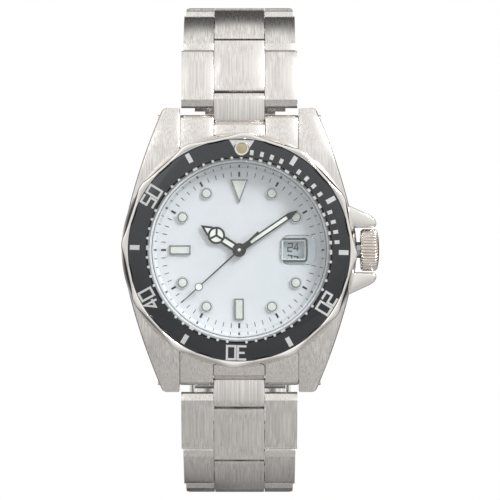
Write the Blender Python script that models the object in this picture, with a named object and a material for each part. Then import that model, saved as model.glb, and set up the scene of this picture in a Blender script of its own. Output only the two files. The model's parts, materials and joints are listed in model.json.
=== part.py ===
"""Dive watch with a rotating bezel, quartz movement and folding clasp.

The dial faces -Y, 12 o'clock is +Z and the crown is at +X.  The origin is the centre of the
case back's rear face.  All sizes below are millimetres; a depth is measured from the case
back towards the crystal, so a point at depth d lies at y = -d.
"""
from math import acos, asin, cos, degrees, hypot, pi, radians, sin, sqrt

import bmesh
import bpy
from mathutils import Matrix, Vector

MM = 0.001

ROUND = 40                 # sides of the large turned pieces

# ---- running and seating clearances
SEAT_GAP = 0.05            # between faces that rest on each other
RUN_GAP = 0.12             # between faces that turn or slide past each other
LINK_GAP = 0.3             # between neighbouring bracelet links

# ---- case
CASE_HALF_WIDTH = 19.6     # at 3 and 9 o'clock
LUG_REACH = 23.8           # centre to lug tip
FLANK_DROP = 6.8           # how far the flank has come in at the lug tip
FLANK_POWER = 1.44         # how suddenly the flank turns in
LUG_SPACE = 20.0           # between the lugs
CASE_BOTTOM = 1.0
CASE_TOP = 6.8
LUG_TOP = 4.2              # depth of the lug's upper edge at its tip
LUG_FOOT = 0.2             # depth of the lug's lower edge at its tip
LUG_BEND = 13.5            # where the lugs begin to fall away
LUG_HOLE_REACH = 22.1
LUG_HOLE_DEPTH = 2.2
BODY_RADIUS = 18.8         # case wall that the end links meet
PLATE_RADIUS = 12.8        # the movement that the case is bored for
HOLDER_WALL = 1.7          # the movement ring, with its clearances
BORE_RADIUS = PLATE_RADIUS + HOLDER_WALL
NECK_WALL = 0.85
NECK_TOP = 8.3
GUARD_REACH = 22.9         # crown guard tips
GUARD_GAP = 7.4            # between the two guards
GUARD_SPREAD = 11.4        # over both guards at the crown
GUARD_ROOT = 7.4           # where a guard leaves the flank
GUARD_THICKNESS = 5.0

# ---- case back
BACK_RADIUS = 15.8
BACK_FLANGE = 0.92
BACK_SPIGOT_WALL = 1.1
BACK_SPIGOT_TOP = 2.3
KEY_SLOTS = 6
KEY_SLOT_WIDTH = 2.2
KEY_SLOT_DEPTH = 1.4
GASKET_WIDTH = 0.5

# ---- crystal, chapter ring and dial
DIAL_BOTTOM = 5.5
DIAL_THICKNESS = 0.4
CRYSTAL_SEAT = 7.6
CRYSTAL_RADIUS = 14.88
CRYSTAL_LEDGE = 0.38       # how much of the case the crystal's rim rests on
OPENING_RADIUS = min(BORE_RADIUS, CRYSTAL_RADIUS - CRYSTAL_LEDGE)   # over the dial
CHAPTER_WIDTH = 0.75
CHAPTER_INNER = OPENING_RADIUS - CHAPTER_WIDTH
CRYSTAL_TOP = 9.9
CRYSTAL_CHAMFER = 0.35
CRYSTAL_GASKET = 0.3
MAGNIFIER_LENGTH = 6.0
MAGNIFIER_WIDTH = 5.0
MAGNIFIER_RISE = 0.5

# ---- markers and date window
CUP_REACH = CHAPTER_INNER - 2.85
CUP_RADIUS = 1.0
MARKER_RISE = 0.35
TRIANGLE_TOP = CHAPTER_INNER - 2.0
TRIANGLE_TIP = TRIANGLE_TOP - 3.95
TRIANGLE_WIDTH = 2.9
BAR_OUTER = CHAPTER_INNER - 2.1
BAR_INNER = BAR_OUTER - 3.55
BAR_WIDTH = 1.55
DATE_REACH = CHAPTER_INNER - 4.6
DATE_WIDTH = 3.3
DATE_HEIGHT = 2.6
DATE_FRAME = 0.5

# ---- bezel
BEZEL_RADIUS = 19.6
SCALLOPS = 12
SCALLOP_DEPTH = 0.35
BEZEL_BOTTOM = 6.9
BEZEL_TOP = 9.25
BEZEL_SEAT = 8.75          # where the insert lies
INSERT_OUTER = 18.5
INSERT_THICKNESS = 0.5
PEARL_REACH = 16.85
PEARL_RADIUS = 1.2
PEARL_RISE = 0.35
CLICK_SPRING_WIDTH = 0.8
CLICK_SPRING_THICKNESS = 0.2

# ---- crown and stem
CROWN_DEPTH = 4.2
CROWN_START = 20.3
CROWN_LENGTH = 3.1
CROWN_RADIUS = 3.5
CROWN_SIDES = 24
CROWN_FACE = 0.7           # thickness of the crown's outer wall
TUBE_RADIUS = 1.35
TUBE_BORE = 0.75
TUBE_REACH = 21.6
STEM_RADIUS = 0.45
STEM_END = 8.6
PINION_START = 11.0
PINION_LENGTH = 1.2
PINION_RADIUS = 0.75

# ---- hands
HOUR_HAND_ANGLE = 302.7
MINUTE_HAND_ANGLE = 55.8
SECONDS_HAND_ANGLE = 227.6
HOUR_LEVEL = 6.35
MINUTE_LEVEL = 6.72
SECONDS_LEVEL = 7.09
HAND_THICKNESS = 0.16
HOUR_REACH = TRIANGLE_TIP - 0.2
HOUR_RING_REACH = HOUR_REACH - 3.1
HOUR_RING_RADIUS = 1.45
MINUTE_REACH = CHAPTER_INNER - 1.95
MINUTE_WIDTH = 0.9
SECONDS_REACH = CHAPTER_INNER - 0.65
SECONDS_TAIL = 4.4
SECONDS_EYE_REACH = SECONDS_REACH - 4.0
SECONDS_EYE_RADIUS = 0.68
HUB_RADIUS = 1.15

# ---- movement
PLATE_BOTTOM = 3.65
PLATE_TOP = 4.95
BOARD_THICKNESS = 0.15
BRIDGE_BOTTOM = 1.45
BRIDGE_THICKNESS = 0.35
BATTERY_RADIUS = 4.7
BATTERY_BOTTOM = 1.28
BATTERY_CENTRE = (-6.8, -4.1)
COIL_CENTRE = (4.2, -8.4)
COIL_LENGTH = 7.0
COIL_RADIUS = 0.75
COIL_LEVEL = 2.35
QUARTZ_CENTRE = (-2.3, 9.3)
QUARTZ_LENGTH = 4.2
QUARTZ_RADIUS = 0.75
STEP_WHEEL_CENTRE = (2.6, 1.75)
STEP_WHEEL_RADIUS = 1.6
THIRD_WHEEL_CENTRE = (-2.2, 2.9)
ROTOR_CENTRE = (4.3, 2.9)
ROTOR_RADIUS = 0.9
SMALL_PINION = 0.55
LOW_WHEEL_LEVEL = 2.05     # third and step wheels
MID_WHEEL_LEVEL = 2.6      # seconds wheel
HIGH_WHEEL_LEVEL = 3.1     # centre wheel
WHEEL_THICKNESS = 0.2
MESH_GAP = 0.1
ARBOR_RADIUS = 0.16
CANNON_OUTER = 0.42
HOUR_PIPE_OUTER = 0.72
HOUR_WHEEL_RADIUS = 2.6
DATE_RING_INNER = DATE_REACH - 1.55
DATE_RING_OUTER = DATE_REACH + 1.65
DATE_RING_TEETH = 31

# ---- bracelet
LINK_PITCH = 9.6
LINK_HALF_THICKNESS = 1.35
LINK_TILTS = (20.0, 54.0, 82.0, 104.0, 126.0, 148.0)   # each link's lean from straight up
END_WIDTH = 19.8
CLASP_END_WIDTH = 16.2
CENTRE_WIDTH = 8.5
SEAM = 0.1
PIN_RADIUS = 0.5
TUBE_LINK_RADIUS = 0.85
FIRST_PIVOT = (25.2, 2.2)  # reach and depth of the hinge between end link and first link
END_LINK_REACH = 22.6
END_LINK_TOP = 6.35
END_LINK_FOOT = 0.75
SPRING_BAR_RADIUS = 0.6

# ---- clasp
CLASP_BEND = 80.0          # radius of the clasp's curve at its end pivots
BLADE_THICKNESS = 0.8
BLADE_WIDTH = 13.4
LAYER_GAP = 0.2            # between blade, blade and cover
KNUCKLE_RADIUS = 0.9
KNUCKLE_WIDTH = 6.0
FOLD_REACH = 14.5          # the blade-to-blade hinge, on the 6 o'clock side
COVER_HINGE_REACH = 19.5   # the blade-to-cover hinge, on the 12 o'clock side
COVER_WALL = 0.8
COVER_WIDTH = 18.4
COVER_END = 22.2           # where the cover's plate stops on the 6 o'clock side


# ---- finishes ---------------------------------------------------------------------------

def finish(name, colour, metallic, roughness):
    """A Principled material with one colour."""
    material = bpy.data.materials.new(name)
    material.use_nodes = True
    shader = material.node_tree.nodes["Principled BSDF"]
    shader.inputs["Base Color"].default_value = (*colour, 1.0)
    shader.inputs["Metallic"].default_value = metallic
    shader.inputs["Roughness"].default_value = roughness
    material.diffuse_color = (*colour, 1.0)
    return material


# ---- mesh helpers -----------------------------------------------------------------------

def arc(centre, radius, start, stop, steps):
    """Points on an arc, from start to stop in degrees, both ends included."""
    points = []
    for step in range(steps + 1):
        angle = radians(start + (stop - start) * step / steps)
        points.append((centre[0] + radius * cos(angle), centre[1] + radius * sin(angle)))
    return points


def circle(centre, radius, steps):
    """A closed ring of points."""
    return arc(centre, radius, 0.0, 360.0, steps)[:-1]


def clock(angle, reach, across=0.0):
    """The x, z of a point at a clock angle in degrees, moved across it clockwise."""
    turn = radians(angle)
    return (reach * sin(turn) + across * cos(turn), reach * cos(turn) - across * sin(turn))


def add_object(name, bm, material, origin=(0.0, 0.0, 0.0)):
    """Turn a millimetre bmesh into an object whose origin is at (x, depth, z)."""
    place = Vector((origin[0], -origin[1], origin[2]))
    bmesh.ops.remove_doubles(bm, verts=bm.verts, dist=0.0005)
    bmesh.ops.translate(bm, verts=bm.verts, vec=-place)
    bmesh.ops.scale(bm, verts=bm.verts, vec=(MM, MM, MM))
    bmesh.ops.recalc_face_normals(bm, faces=bm.faces)
    mesh = bpy.data.meshes.new(name)
    bm.to_mesh(mesh)
    bm.free()
    mesh.shade_smooth()
    mesh.set_sharp_from_angle(angle=radians(30.0))
    made = bpy.data.objects.new(name, mesh)
    made.location = place * MM
    made.data.materials.append(material)
    bpy.context.scene.collection.objects.link(made)
    return made


def extruded(name, outline, start, stop, material, plane="front", origin=(0.0, 0.0, 0.0)):
    """A prism.  A front outline is x, z between two depths; a side one is z, depth over x."""
    bm = bmesh.new()
    if plane == "front":
        corners = [bm.verts.new((x, -start, z)) for x, z in outline]
        travel = (0.0, start - stop, 0.0)
    else:
        corners = [bm.verts.new((start, -depth, z)) for z, depth in outline]
        travel = (stop - start, 0.0, 0.0)
    face = bm.faces.new(corners)
    result = bmesh.ops.extrude_face_region(bm, geom=[face])
    moved = [item for item in result["geom"] if isinstance(item, bmesh.types.BMVert)]
    bmesh.ops.translate(bm, verts=moved, vec=travel)
    return add_object(name, bm, material, origin)


def turned(name, profile, material, axis="Y", at=(0.0, 0.0, 0.0), steps=48):
    """A turned piece.  The profile is radius, height; height runs along -Y or along +X."""
    bm = bmesh.new()
    corners = [bm.verts.new((radius, 0.0, height)) for radius, height in profile]
    edges = [bm.edges.new((corners[i - 1], corners[i])) for i in range(len(corners))
             if profile[i - 1][0] > 0.0 or profile[i][0] > 0.0]
    bmesh.ops.spin(bm, geom=corners + edges, cent=(0.0, 0.0, 0.0), axis=(0.0, 0.0, 1.0),
                   dvec=(0.0, 0.0, 0.0), angle=2.0 * pi, steps=steps, use_merge=True,
                   use_duplicate=False)
    lay = Matrix.Rotation(pi / 2.0, 3, "X" if axis == "Y" else "Y")
    bmesh.ops.rotate(bm, verts=bm.verts, cent=(0.0, 0.0, 0.0), matrix=lay)
    place = Vector((at[0], -at[1], at[2]))
    bmesh.ops.translate(bm, verts=bm.verts, vec=place)
    return add_object(name, bm, material, at)


def ring(inner, outer, bottom, top):
    """The profile of a plain ring."""
    return [(inner, bottom), (outer, bottom), (outer, top), (inner, top)]


def rod(radius, start, stop):
    """The profile of a plain rod."""
    return [(0.0, start), (radius, start), (radius, stop), (0.0, stop)]


def combine(target, operation, tools):
    """Join or cut a piece with hidden helper solids."""
    for tool in tools:
        tool.parent = target
        tool.matrix_parent_inverse = target.matrix_basis.inverted()
        tool.hide_render = True
        tool.display_type = "WIRE"
        modifier = target.modifiers.new(tool.name, "BOOLEAN")
        modifier.operation = operation
        modifier.object = tool
        modifier.solver = "EXACT"
    return target


def box(name, low, high, material):
    """A block between two corners given as x, depth, z."""
    outline = [(low[0], low[2]), (high[0], low[2]), (high[0], high[2]), (low[0], high[2])]
    return extruded(name, outline, low[1], high[1], material)


# ---- case -------------------------------------------------------------------------------

def flank(reach):
    """Half width of the case at a height above or below its centre."""
    return CASE_HALF_WIDTH - FLANK_DROP * (abs(reach) / LUG_REACH) ** FLANK_POWER


def case_outline():
    """Front outline of the case with lugs and crown guards."""
    space = LUG_SPACE / 2.0
    root = degrees(asin(space / BODY_RADIUS))
    guard_in = GUARD_GAP / 2.0
    guard_out = GUARD_SPREAD / 2.0
    heights = [LUG_REACH * (1.0 - step / 8.0) for step in range(6)]
    right = [(flank(z), z) for z in heights if z > GUARD_ROOT + 0.4]
    guard = [(flank(GUARD_ROOT), GUARD_ROOT), (GUARD_REACH - 1.0, guard_out),
             (GUARD_REACH - 0.2, guard_out - 0.6), (GUARD_REACH, (guard_in + guard_out) / 2.0),
             (GUARD_REACH - 0.3, guard_in), (CASE_HALF_WIDTH - 0.2, guard_in)]
    upper_right = [(space, LUG_REACH)] + right + guard
    lower_right = [(x, -z) for x, z in reversed(upper_right)]
    left_heights = [LUG_REACH * (step / 8.0 - 1.0) for step in range(17)]
    left = [(-space, -LUG_REACH)] + [(-flank(z), z) for z in left_heights]
    left.append((-space, LUG_REACH))
    lower_wall = arc((0.0, 0.0), BODY_RADIUS, 270.0 + root, 270.0 - root, 12)
    upper_wall = arc((0.0, 0.0), BODY_RADIUS, 90.0 + root, 90.0 - root, 12)
    return upper_right + lower_right + lower_wall + left + upper_wall


def case_side():
    """Side outline of the case: level over the dial, falling away to the lug tips."""
    fall = LUG_REACH - LUG_BEND
    upper = []
    lower = []
    for step in range(7):
        share = step / 6.0
        reach = LUG_BEND + fall * share
        upper.append((reach, CASE_TOP - (CASE_TOP - LUG_TOP) * share ** 2))
        lower.append((reach, CASE_BOTTOM - (CASE_BOTTOM - LUG_FOOT) * share ** 2))
    tip = 0.3
    upper[-1] = (LUG_REACH - tip, upper[-1][1])
    lower[-1] = (LUG_REACH - tip, lower[-1][1])
    end = [(LUG_REACH + 0.01, LUG_TOP - tip), (LUG_REACH + 0.01, LUG_FOOT + tip)]
    half = upper + end + lower[::-1]
    other = [(-reach, depth) for reach, depth in half[::-1]]
    return half + other


def build_case(steel):
    """Mid case: one milling with lugs, guards, bores and the neck for bezel and crystal."""
    case = extruded("mid_case", case_outline(), LUG_FOOT - 1.0, CASE_TOP + 1.0, steel)
    side = extruded("case_side", case_side(), -40.0, 40.0, steel, plane="side")
    combine(case, "INTERSECT", [side])
    crystal_bore = CRYSTAL_RADIUS + CRYSTAL_GASKET + SEAT_GAP
    neck = turned("case_neck", ring(OPENING_RADIUS - 1.0, crystal_bore + NECK_WALL,
                                    CASE_TOP - 1.0, NECK_TOP), steel, steps=ROUND)
    combine(case, "UNION", [neck])
    groove = BORE_RADIUS + GASKET_WIDTH + 2.0 * SEAT_GAP
    bores = [(0.0, CASE_BOTTOM - 2.0), (groove, CASE_BOTTOM - 2.0),
             (groove, CASE_BOTTOM + GASKET_WIDTH + SEAT_GAP),
             (BORE_RADIUS, CASE_BOTTOM + GASKET_WIDTH + SEAT_GAP)]
    if BORE_RADIUS > OPENING_RADIUS:
        shoulder = DIAL_BOTTOM + DIAL_THICKNESS + SEAT_GAP
        bores += [(BORE_RADIUS, shoulder), (OPENING_RADIUS, shoulder)]
    bores += [(OPENING_RADIUS, CRYSTAL_SEAT), (crystal_bore, CRYSTAL_SEAT),
             (crystal_bore, NECK_TOP + 1.0), (0.0, NECK_TOP + 1.0)]
    cutters = [turned("case_bores", bores, steel, steps=ROUND)]
    cutters.append(turned("tube_hole", rod(TUBE_RADIUS + SEAT_GAP, BORE_RADIUS - 1.0,
                                           GUARD_REACH), steel, axis="X",
                          at=(0.0, CROWN_DEPTH, 0.0), steps=16))
    for side_sign in (1.0, -1.0):
        at = (0.0, LUG_HOLE_DEPTH, side_sign * LUG_HOLE_REACH)
        hole = rod(SPRING_BAR_RADIUS + SEAT_GAP, -CASE_HALF_WIDTH, CASE_HALF_WIDTH)
        cutters.append(turned("lug_hole", hole, steel, axis="X", at=at, steps=10))
    guard_top = CROWN_DEPTH + GUARD_THICKNESS / 2.0
    guard_foot = CROWN_DEPTH - GUARD_THICKNESS / 2.0
    past = CASE_HALF_WIDTH + 0.1
    high = (GUARD_REACH + 1.0, CASE_TOP + 1.0, GUARD_ROOT + 1.0)
    cutters.append(box("guard_top", (past, guard_top, -GUARD_ROOT - 1.0), high, steel))
    foot = (GUARD_REACH + 1.0, guard_foot, GUARD_ROOT + 1.0)
    cutters.append(box("guard_foot", (past, CASE_BOTTOM - 2.0, -GUARD_ROOT - 1.0), foot, steel))
    combine(case, "DIFFERENCE", cutters)


def build_back(steel, rubber):
    """Screw-in case back with key slots, and its sealing ring."""
    spigot = BORE_RADIUS - SEAT_GAP
    profile = [(0.0, 0.0), (BACK_RADIUS - 0.3, 0.0), (BACK_RADIUS, 0.3),
               (BACK_RADIUS, BACK_FLANGE), (spigot, BACK_FLANGE), (spigot, BACK_SPIGOT_TOP),
               (spigot - BACK_SPIGOT_WALL, BACK_SPIGOT_TOP),
               (spigot - BACK_SPIGOT_WALL, BACK_FLANGE), (0.0, BACK_FLANGE)]
    back = turned("case_back", profile, steel, steps=ROUND)
    slots = []
    for index in range(KEY_SLOTS):
        x, z = clock(index * 360.0 / KEY_SLOTS, BACK_RADIUS)
        half = KEY_SLOT_WIDTH / 2.0
        slot = extruded("key_slot", circle((0.0, 0.0), half, 8), -1.0, BACK_FLANGE / 2.0, steel)
        slot.location = (x * MM, 0.0, z * MM)
        slots.append(slot)
    combine(back, "DIFFERENCE", slots)
    inner = BORE_RADIUS + SEAT_GAP
    low = BACK_FLANGE + SEAT_GAP
    high = CASE_BOTTOM + GASKET_WIDTH
    turned("case_back_gasket", ring(inner, inner + GASKET_WIDTH, low, high), rubber, steps=ROUND)


# ---- front ------------------------------------------------------------------------------

def build_crystal(glass, rubber):
    """Flat crystal with a chamfered rim, its gasket and the lens bonded over the date."""
    rim = CRYSTAL_RADIUS - CRYSTAL_CHAMFER
    profile = [(0.0, CRYSTAL_SEAT + SEAT_GAP), (CRYSTAL_RADIUS, CRYSTAL_SEAT + SEAT_GAP),
               (CRYSTAL_RADIUS, CRYSTAL_TOP - CRYSTAL_CHAMFER), (rim, CRYSTAL_TOP),
               (0.0, CRYSTAL_TOP)]
    turned("crystal", profile, glass, steps=ROUND)
    inner = CRYSTAL_RADIUS + SEAT_GAP / 2.0
    turned("crystal_gasket", ring(inner, inner + CRYSTAL_GASKET - SEAT_GAP / 2.0,
                                  CRYSTAL_SEAT + SEAT_GAP, BEZEL_SEAT + INSERT_THICKNESS / 2.0),
           rubber, steps=ROUND)
    half = MAGNIFIER_LENGTH / 2.0
    side = MAGNIFIER_WIDTH / 2.0
    corner = side * 0.5
    outline = []
    for quarter, (sx, sz) in enumerate(((1, 1), (-1, 1), (-1, -1), (1, -1))):
        centre = (DATE_REACH + 0.6 + sx * (half - corner), sz * (side - corner))
        outline += arc(centre, corner, quarter * 90.0, quarter * 90.0 + 90.0, 4)
    base = CRYSTAL_TOP + SEAT_GAP
    lens = extruded("date_magnifier", outline, base, base + MAGNIFIER_RISE, glass)
    bevel = lens.modifiers.new("lens_edge", "BEVEL")
    bevel.width = MAGNIFIER_RISE * 0.5 * MM
    bevel.segments = 2
    bevel.limit_method = "ANGLE"
    bevel.angle_limit = radians(60.0)


def build_dial(enamel, steel, paint):
    """Dial with its date window, the applied markers and the chapter ring."""
    dial_top = DIAL_BOTTOM + DIAL_THICKNESS
    profile = ring(HOUR_PIPE_OUTER + RUN_GAP, BORE_RADIUS - SEAT_GAP, DIAL_BOTTOM, dial_top)
    dial = turned("dial", profile, enamel, steps=ROUND)
    cups = []
    for hour in (1, 2, 4, 5, 7, 8, 10, 11):
        x, z = clock(hour * 30.0, CUP_REACH)
        cup = turned("cup", rod(CUP_RADIUS, dial_top - 0.2, dial_top + MARKER_RISE), steel,
                     at=(x, 0.0, z), steps=14)
        cups.append(cup)
    combine(dial, "UNION", cups)
    half_w = DATE_WIDTH / 2.0
    half_h = DATE_HEIGHT / 2.0
    window = box("date_window", (DATE_REACH - half_w, DIAL_BOTTOM - 1.0, -half_h),
                 (DATE_REACH + half_w, dial_top + 1.0, half_h), steel)
    combine(dial, "DIFFERENCE", [window])
    low = dial_top + SEAT_GAP
    high = dial_top + MARKER_RISE
    triangle = [(-TRIANGLE_WIDTH / 2.0, TRIANGLE_TOP), (TRIANGLE_WIDTH / 2.0, TRIANGLE_TOP),
                (0.0, TRIANGLE_TIP)]
    extruded("marker_12", triangle, low, high, steel)
    for name, angle in (("marker_6", 180.0), ("marker_9", 270.0)):
        bar = [clock(angle, reach, across) for reach, across in
               ((BAR_OUTER, -BAR_WIDTH / 2.0), (BAR_OUTER, BAR_WIDTH / 2.0),
                (BAR_INNER, BAR_WIDTH / 2.0), (BAR_INNER, -BAR_WIDTH / 2.0))]
        extruded(name, bar, low, high, steel)
    frame = box("date_frame", (DATE_REACH - half_w - DATE_FRAME, low, -half_h - DATE_FRAME),
                (DATE_REACH + half_w + DATE_FRAME, high, half_h + DATE_FRAME), paint)
    combine(frame, "DIFFERENCE", [window])
    outer = OPENING_RADIUS - SEAT_GAP
    slope = [(CHAPTER_INNER, low), (outer, low), (outer, CRYSTAL_SEAT),
             (outer - 0.3, CRYSTAL_SEAT)]
    turned("chapter_ring", slope, enamel, steps=ROUND)


# ---- bezel ------------------------------------------------------------------------------

def build_bezel(steel, black, lume):
    """Turning bezel: scalloped ring, insert, pearl and the click spring under it."""
    neck = CRYSTAL_RADIUS + CRYSTAL_GASKET + SEAT_GAP + NECK_WALL
    inner = CRYSTAL_RADIUS + CRYSTAL_GASKET + 3.0 * SEAT_GAP
    spring_in = neck + 2.0 * RUN_GAP
    spring_out = spring_in + CLICK_SPRING_WIDTH
    groove_top = BEZEL_BOTTOM + 2.0 * CLICK_SPRING_THICKNESS
    wall = INSERT_OUTER + SEAT_GAP
    profile = [(spring_out + RUN_GAP, BEZEL_BOTTOM), (BEZEL_RADIUS - 0.5, BEZEL_BOTTOM),
               (BEZEL_RADIUS, BEZEL_BOTTOM + 0.5), (BEZEL_RADIUS, BEZEL_TOP - 0.7),
               (BEZEL_RADIUS - 0.6, BEZEL_TOP), (wall, BEZEL_TOP), (wall, BEZEL_SEAT),
               (inner, BEZEL_SEAT), (inner, NECK_TOP + RUN_GAP),
               (neck + RUN_GAP, NECK_TOP + RUN_GAP), (neck + RUN_GAP, groove_top),
               (spring_out + RUN_GAP, groove_top)]
    bezel = turned("bezel_ring", profile, steel, steps=ROUND)
    scoop = 6.0
    cuts = []
    for index in range(SCALLOPS):
        x, z = clock((index + 0.6) * 360.0 / SCALLOPS, BEZEL_RADIUS - SCALLOP_DEPTH + scoop)
        cut = extruded("scallop", circle((x, z), scoop, 16), BEZEL_BOTTOM - 1.0,
                       BEZEL_TOP + 1.0, steel)
        cuts.append(cut)
    combine(bezel, "DIFFERENCE", cuts)
    low = BEZEL_SEAT + SEAT_GAP
    insert_inner = CRYSTAL_RADIUS + CRYSTAL_GASKET + SEAT_GAP
    insert = turned("bezel_insert", ring(insert_inner, INSERT_OUTER, low,
                                         low + INSERT_THICKNESS), black, steps=ROUND)
    hole = turned("pearl_hole", rod(PEARL_RADIUS + SEAT_GAP, low - 1.0,
                                    low + INSERT_THICKNESS + 1.0), black,
                  at=(0.0, 0.0, PEARL_REACH), steps=20)
    combine(insert, "DIFFERENCE", [hole])
    top = low + INSERT_THICKNESS + PEARL_RISE
    dome = [(0.0, low), (PEARL_RADIUS, low), (PEARL_RADIUS, low + INSERT_THICKNESS),
            (PEARL_RADIUS * 0.7, top - 0.1), (0.0, top)]
    turned("bezel_pearl", dome, lume, at=(0.0, 0.0, PEARL_REACH), steps=20)
    spring = arc((0.0, 0.0), spring_out, -150.0, 150.0, 40)
    spring += arc((0.0, 0.0), spring_in, 150.0, -150.0, 40)
    spring_low = CASE_TOP + SEAT_GAP
    extruded("bezel_click_spring", spring, spring_low, spring_low + CLICK_SPRING_THICKNESS,
             steel)


# ---- crown ------------------------------------------------------------------------------

def build_crown(steel, brass, rubber):
    """Crown on its stem, the case tube, the seal and the pinion the stem slides in."""
    end = CROWN_START + CROWN_LENGTH
    profile = [(TUBE_RADIUS + RUN_GAP, CROWN_START), (CROWN_RADIUS - 0.3, CROWN_START),
               (CROWN_RADIUS, CROWN_START + 0.3), (CROWN_RADIUS, end - 0.4),
               (CROWN_RADIUS - 0.4, end), (0.0, end), (0.0, end - CROWN_FACE),
               (TUBE_RADIUS + RUN_GAP, end - CROWN_FACE)]
    turned("crown", profile, steel, axis="X", at=(0.0, CROWN_DEPTH, 0.0), steps=CROWN_SIDES)
    at = (0.0, CROWN_DEPTH, 0.0)
    turned("case_tube", ring(TUBE_BORE, TUBE_RADIUS, BORE_RADIUS + 0.2, TUBE_REACH), steel,
           axis="X", at=at, steps=20)
    seal_stop = end - CROWN_FACE - SEAT_GAP
    turned("crown_gasket", ring(STEM_RADIUS + SEAT_GAP, TUBE_RADIUS, seal_stop - 0.6, seal_stop),
           rubber, axis="X", at=at, steps=20)
    turned("setting_stem", rod(STEM_RADIUS, STEM_END, end - CROWN_FACE - SEAT_GAP), steel, axis="X",
           at=at, steps=14)
    turned("winding_pinion", ring(STEM_RADIUS + SEAT_GAP, PINION_RADIUS, PINION_START,
                                  PINION_START + PINION_LENGTH), brass, axis="X", at=at,
           steps=24)


# ---- hands ------------------------------------------------------------------------------

def hand(name, outlines, level, bore, angle, material, openings=()):
    """A flat hand lying along its clock angle, with its hub and its window openings."""
    def turn(points):
        return [clock(angle, reach, across) for across, reach in points]
    top = level + HAND_THICKNESS
    piece = extruded(name, circle((0.0, 0.0), HUB_RADIUS, 20), level, top, material)
    extras = [extruded(name + "_blade", turn(outline), level, top, material)
              for outline in outlines]
    combine(piece, "UNION", extras)
    cutters = [extruded(name + "_window", turn(outline), level - 1.0, top + 1.0, material)
               for outline in openings]
    cutters.append(extruded(name + "_bore", circle((0.0, 0.0), bore, 16), level - 1.0,
                            top + 1.0, material))
    combine(piece, "DIFFERENCE", cutters)


def build_hands(black):
    """Hour hand with a spoked ring, baton minute hand, seconds hand with an eye."""
    line = 0.28
    ring_in = HOUR_RING_RADIUS - line
    tip_start = HOUR_RING_REACH + HOUR_RING_RADIUS
    blades = [[(-0.45, 0.0), (0.45, 0.0), (0.45, HOUR_RING_REACH), (-0.45, HOUR_RING_REACH)],
              circle((0.0, HOUR_RING_REACH), HOUR_RING_RADIUS, 24),
              [(-0.75, tip_start - 0.3), (0.75, tip_start - 0.3), (0.0, HOUR_REACH)]]
    windows = []
    for middle in (90.0, 210.0, 330.0):
        sector = arc((0.0, HOUR_RING_REACH), ring_in, middle - 50.0, middle + 50.0, 6)
        inner = (0.3 * cos(radians(middle)), HOUR_RING_REACH + 0.3 * sin(radians(middle)))
        windows.append(sector + [inner])
    hand("hour_hand", blades, HOUR_LEVEL, HOUR_PIPE_OUTER + SEAT_GAP, HOUR_HAND_ANGLE, black,
         windows)
    half = MINUTE_WIDTH / 2.0
    baton = [(-half, 0.0), (half, 0.0), (half, MINUTE_REACH - 1.6), (0.0, MINUTE_REACH),
             (-half, MINUTE_REACH - 1.6)]
    hand("minute_hand", [baton], MINUTE_LEVEL, CANNON_OUTER + SEAT_GAP, MINUTE_HAND_ANGLE, black)
    tail = SECONDS_TAIL
    needle = [(-0.14, 0.0), (-0.25, -tail), (0.25, -tail), (0.14, 0.0), (0.06, SECONDS_REACH),
              (-0.06, SECONDS_REACH)]
    eye = circle((0.0, SECONDS_EYE_REACH), SECONDS_EYE_RADIUS, 16)
    hand("seconds_hand", [needle, eye], SECONDS_LEVEL, ARBOR_RADIUS + SEAT_GAP,
         SECONDS_HAND_ANGLE, black)


# ---- movement ---------------------------------------------------------------------------

def toothed(centre, radius, teeth, depth):
    """Outline of a wheel with plain teeth."""
    points = []
    for index in range(teeth):
        for share, reach in ((0.0, radius - depth), (0.5, radius)):
            turn = 2.0 * pi * (index + share) / teeth
            points.append((centre[0] + reach * cos(turn), centre[1] + reach * sin(turn)))
    return points


def wheel(name, centre, radius, level, arbor, material, teeth=20, pinion=None):
    """A toothed wheel on an arbor, with an optional pinion as (radius, from, to)."""
    origin = (centre[0], 0.0, centre[1])
    piece = extruded(name, toothed(centre, radius, teeth, 0.22), level,
                     level + WHEEL_THICKNESS, material, origin=origin)
    parts = [turned(name + "_arbor", rod(*arbor), material, at=origin, steps=12)]
    if pinion:
        parts.append(turned(name + "_pinion", rod(*pinion), material, at=origin, steps=12))
    return combine(piece, "UNION", parts)


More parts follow.
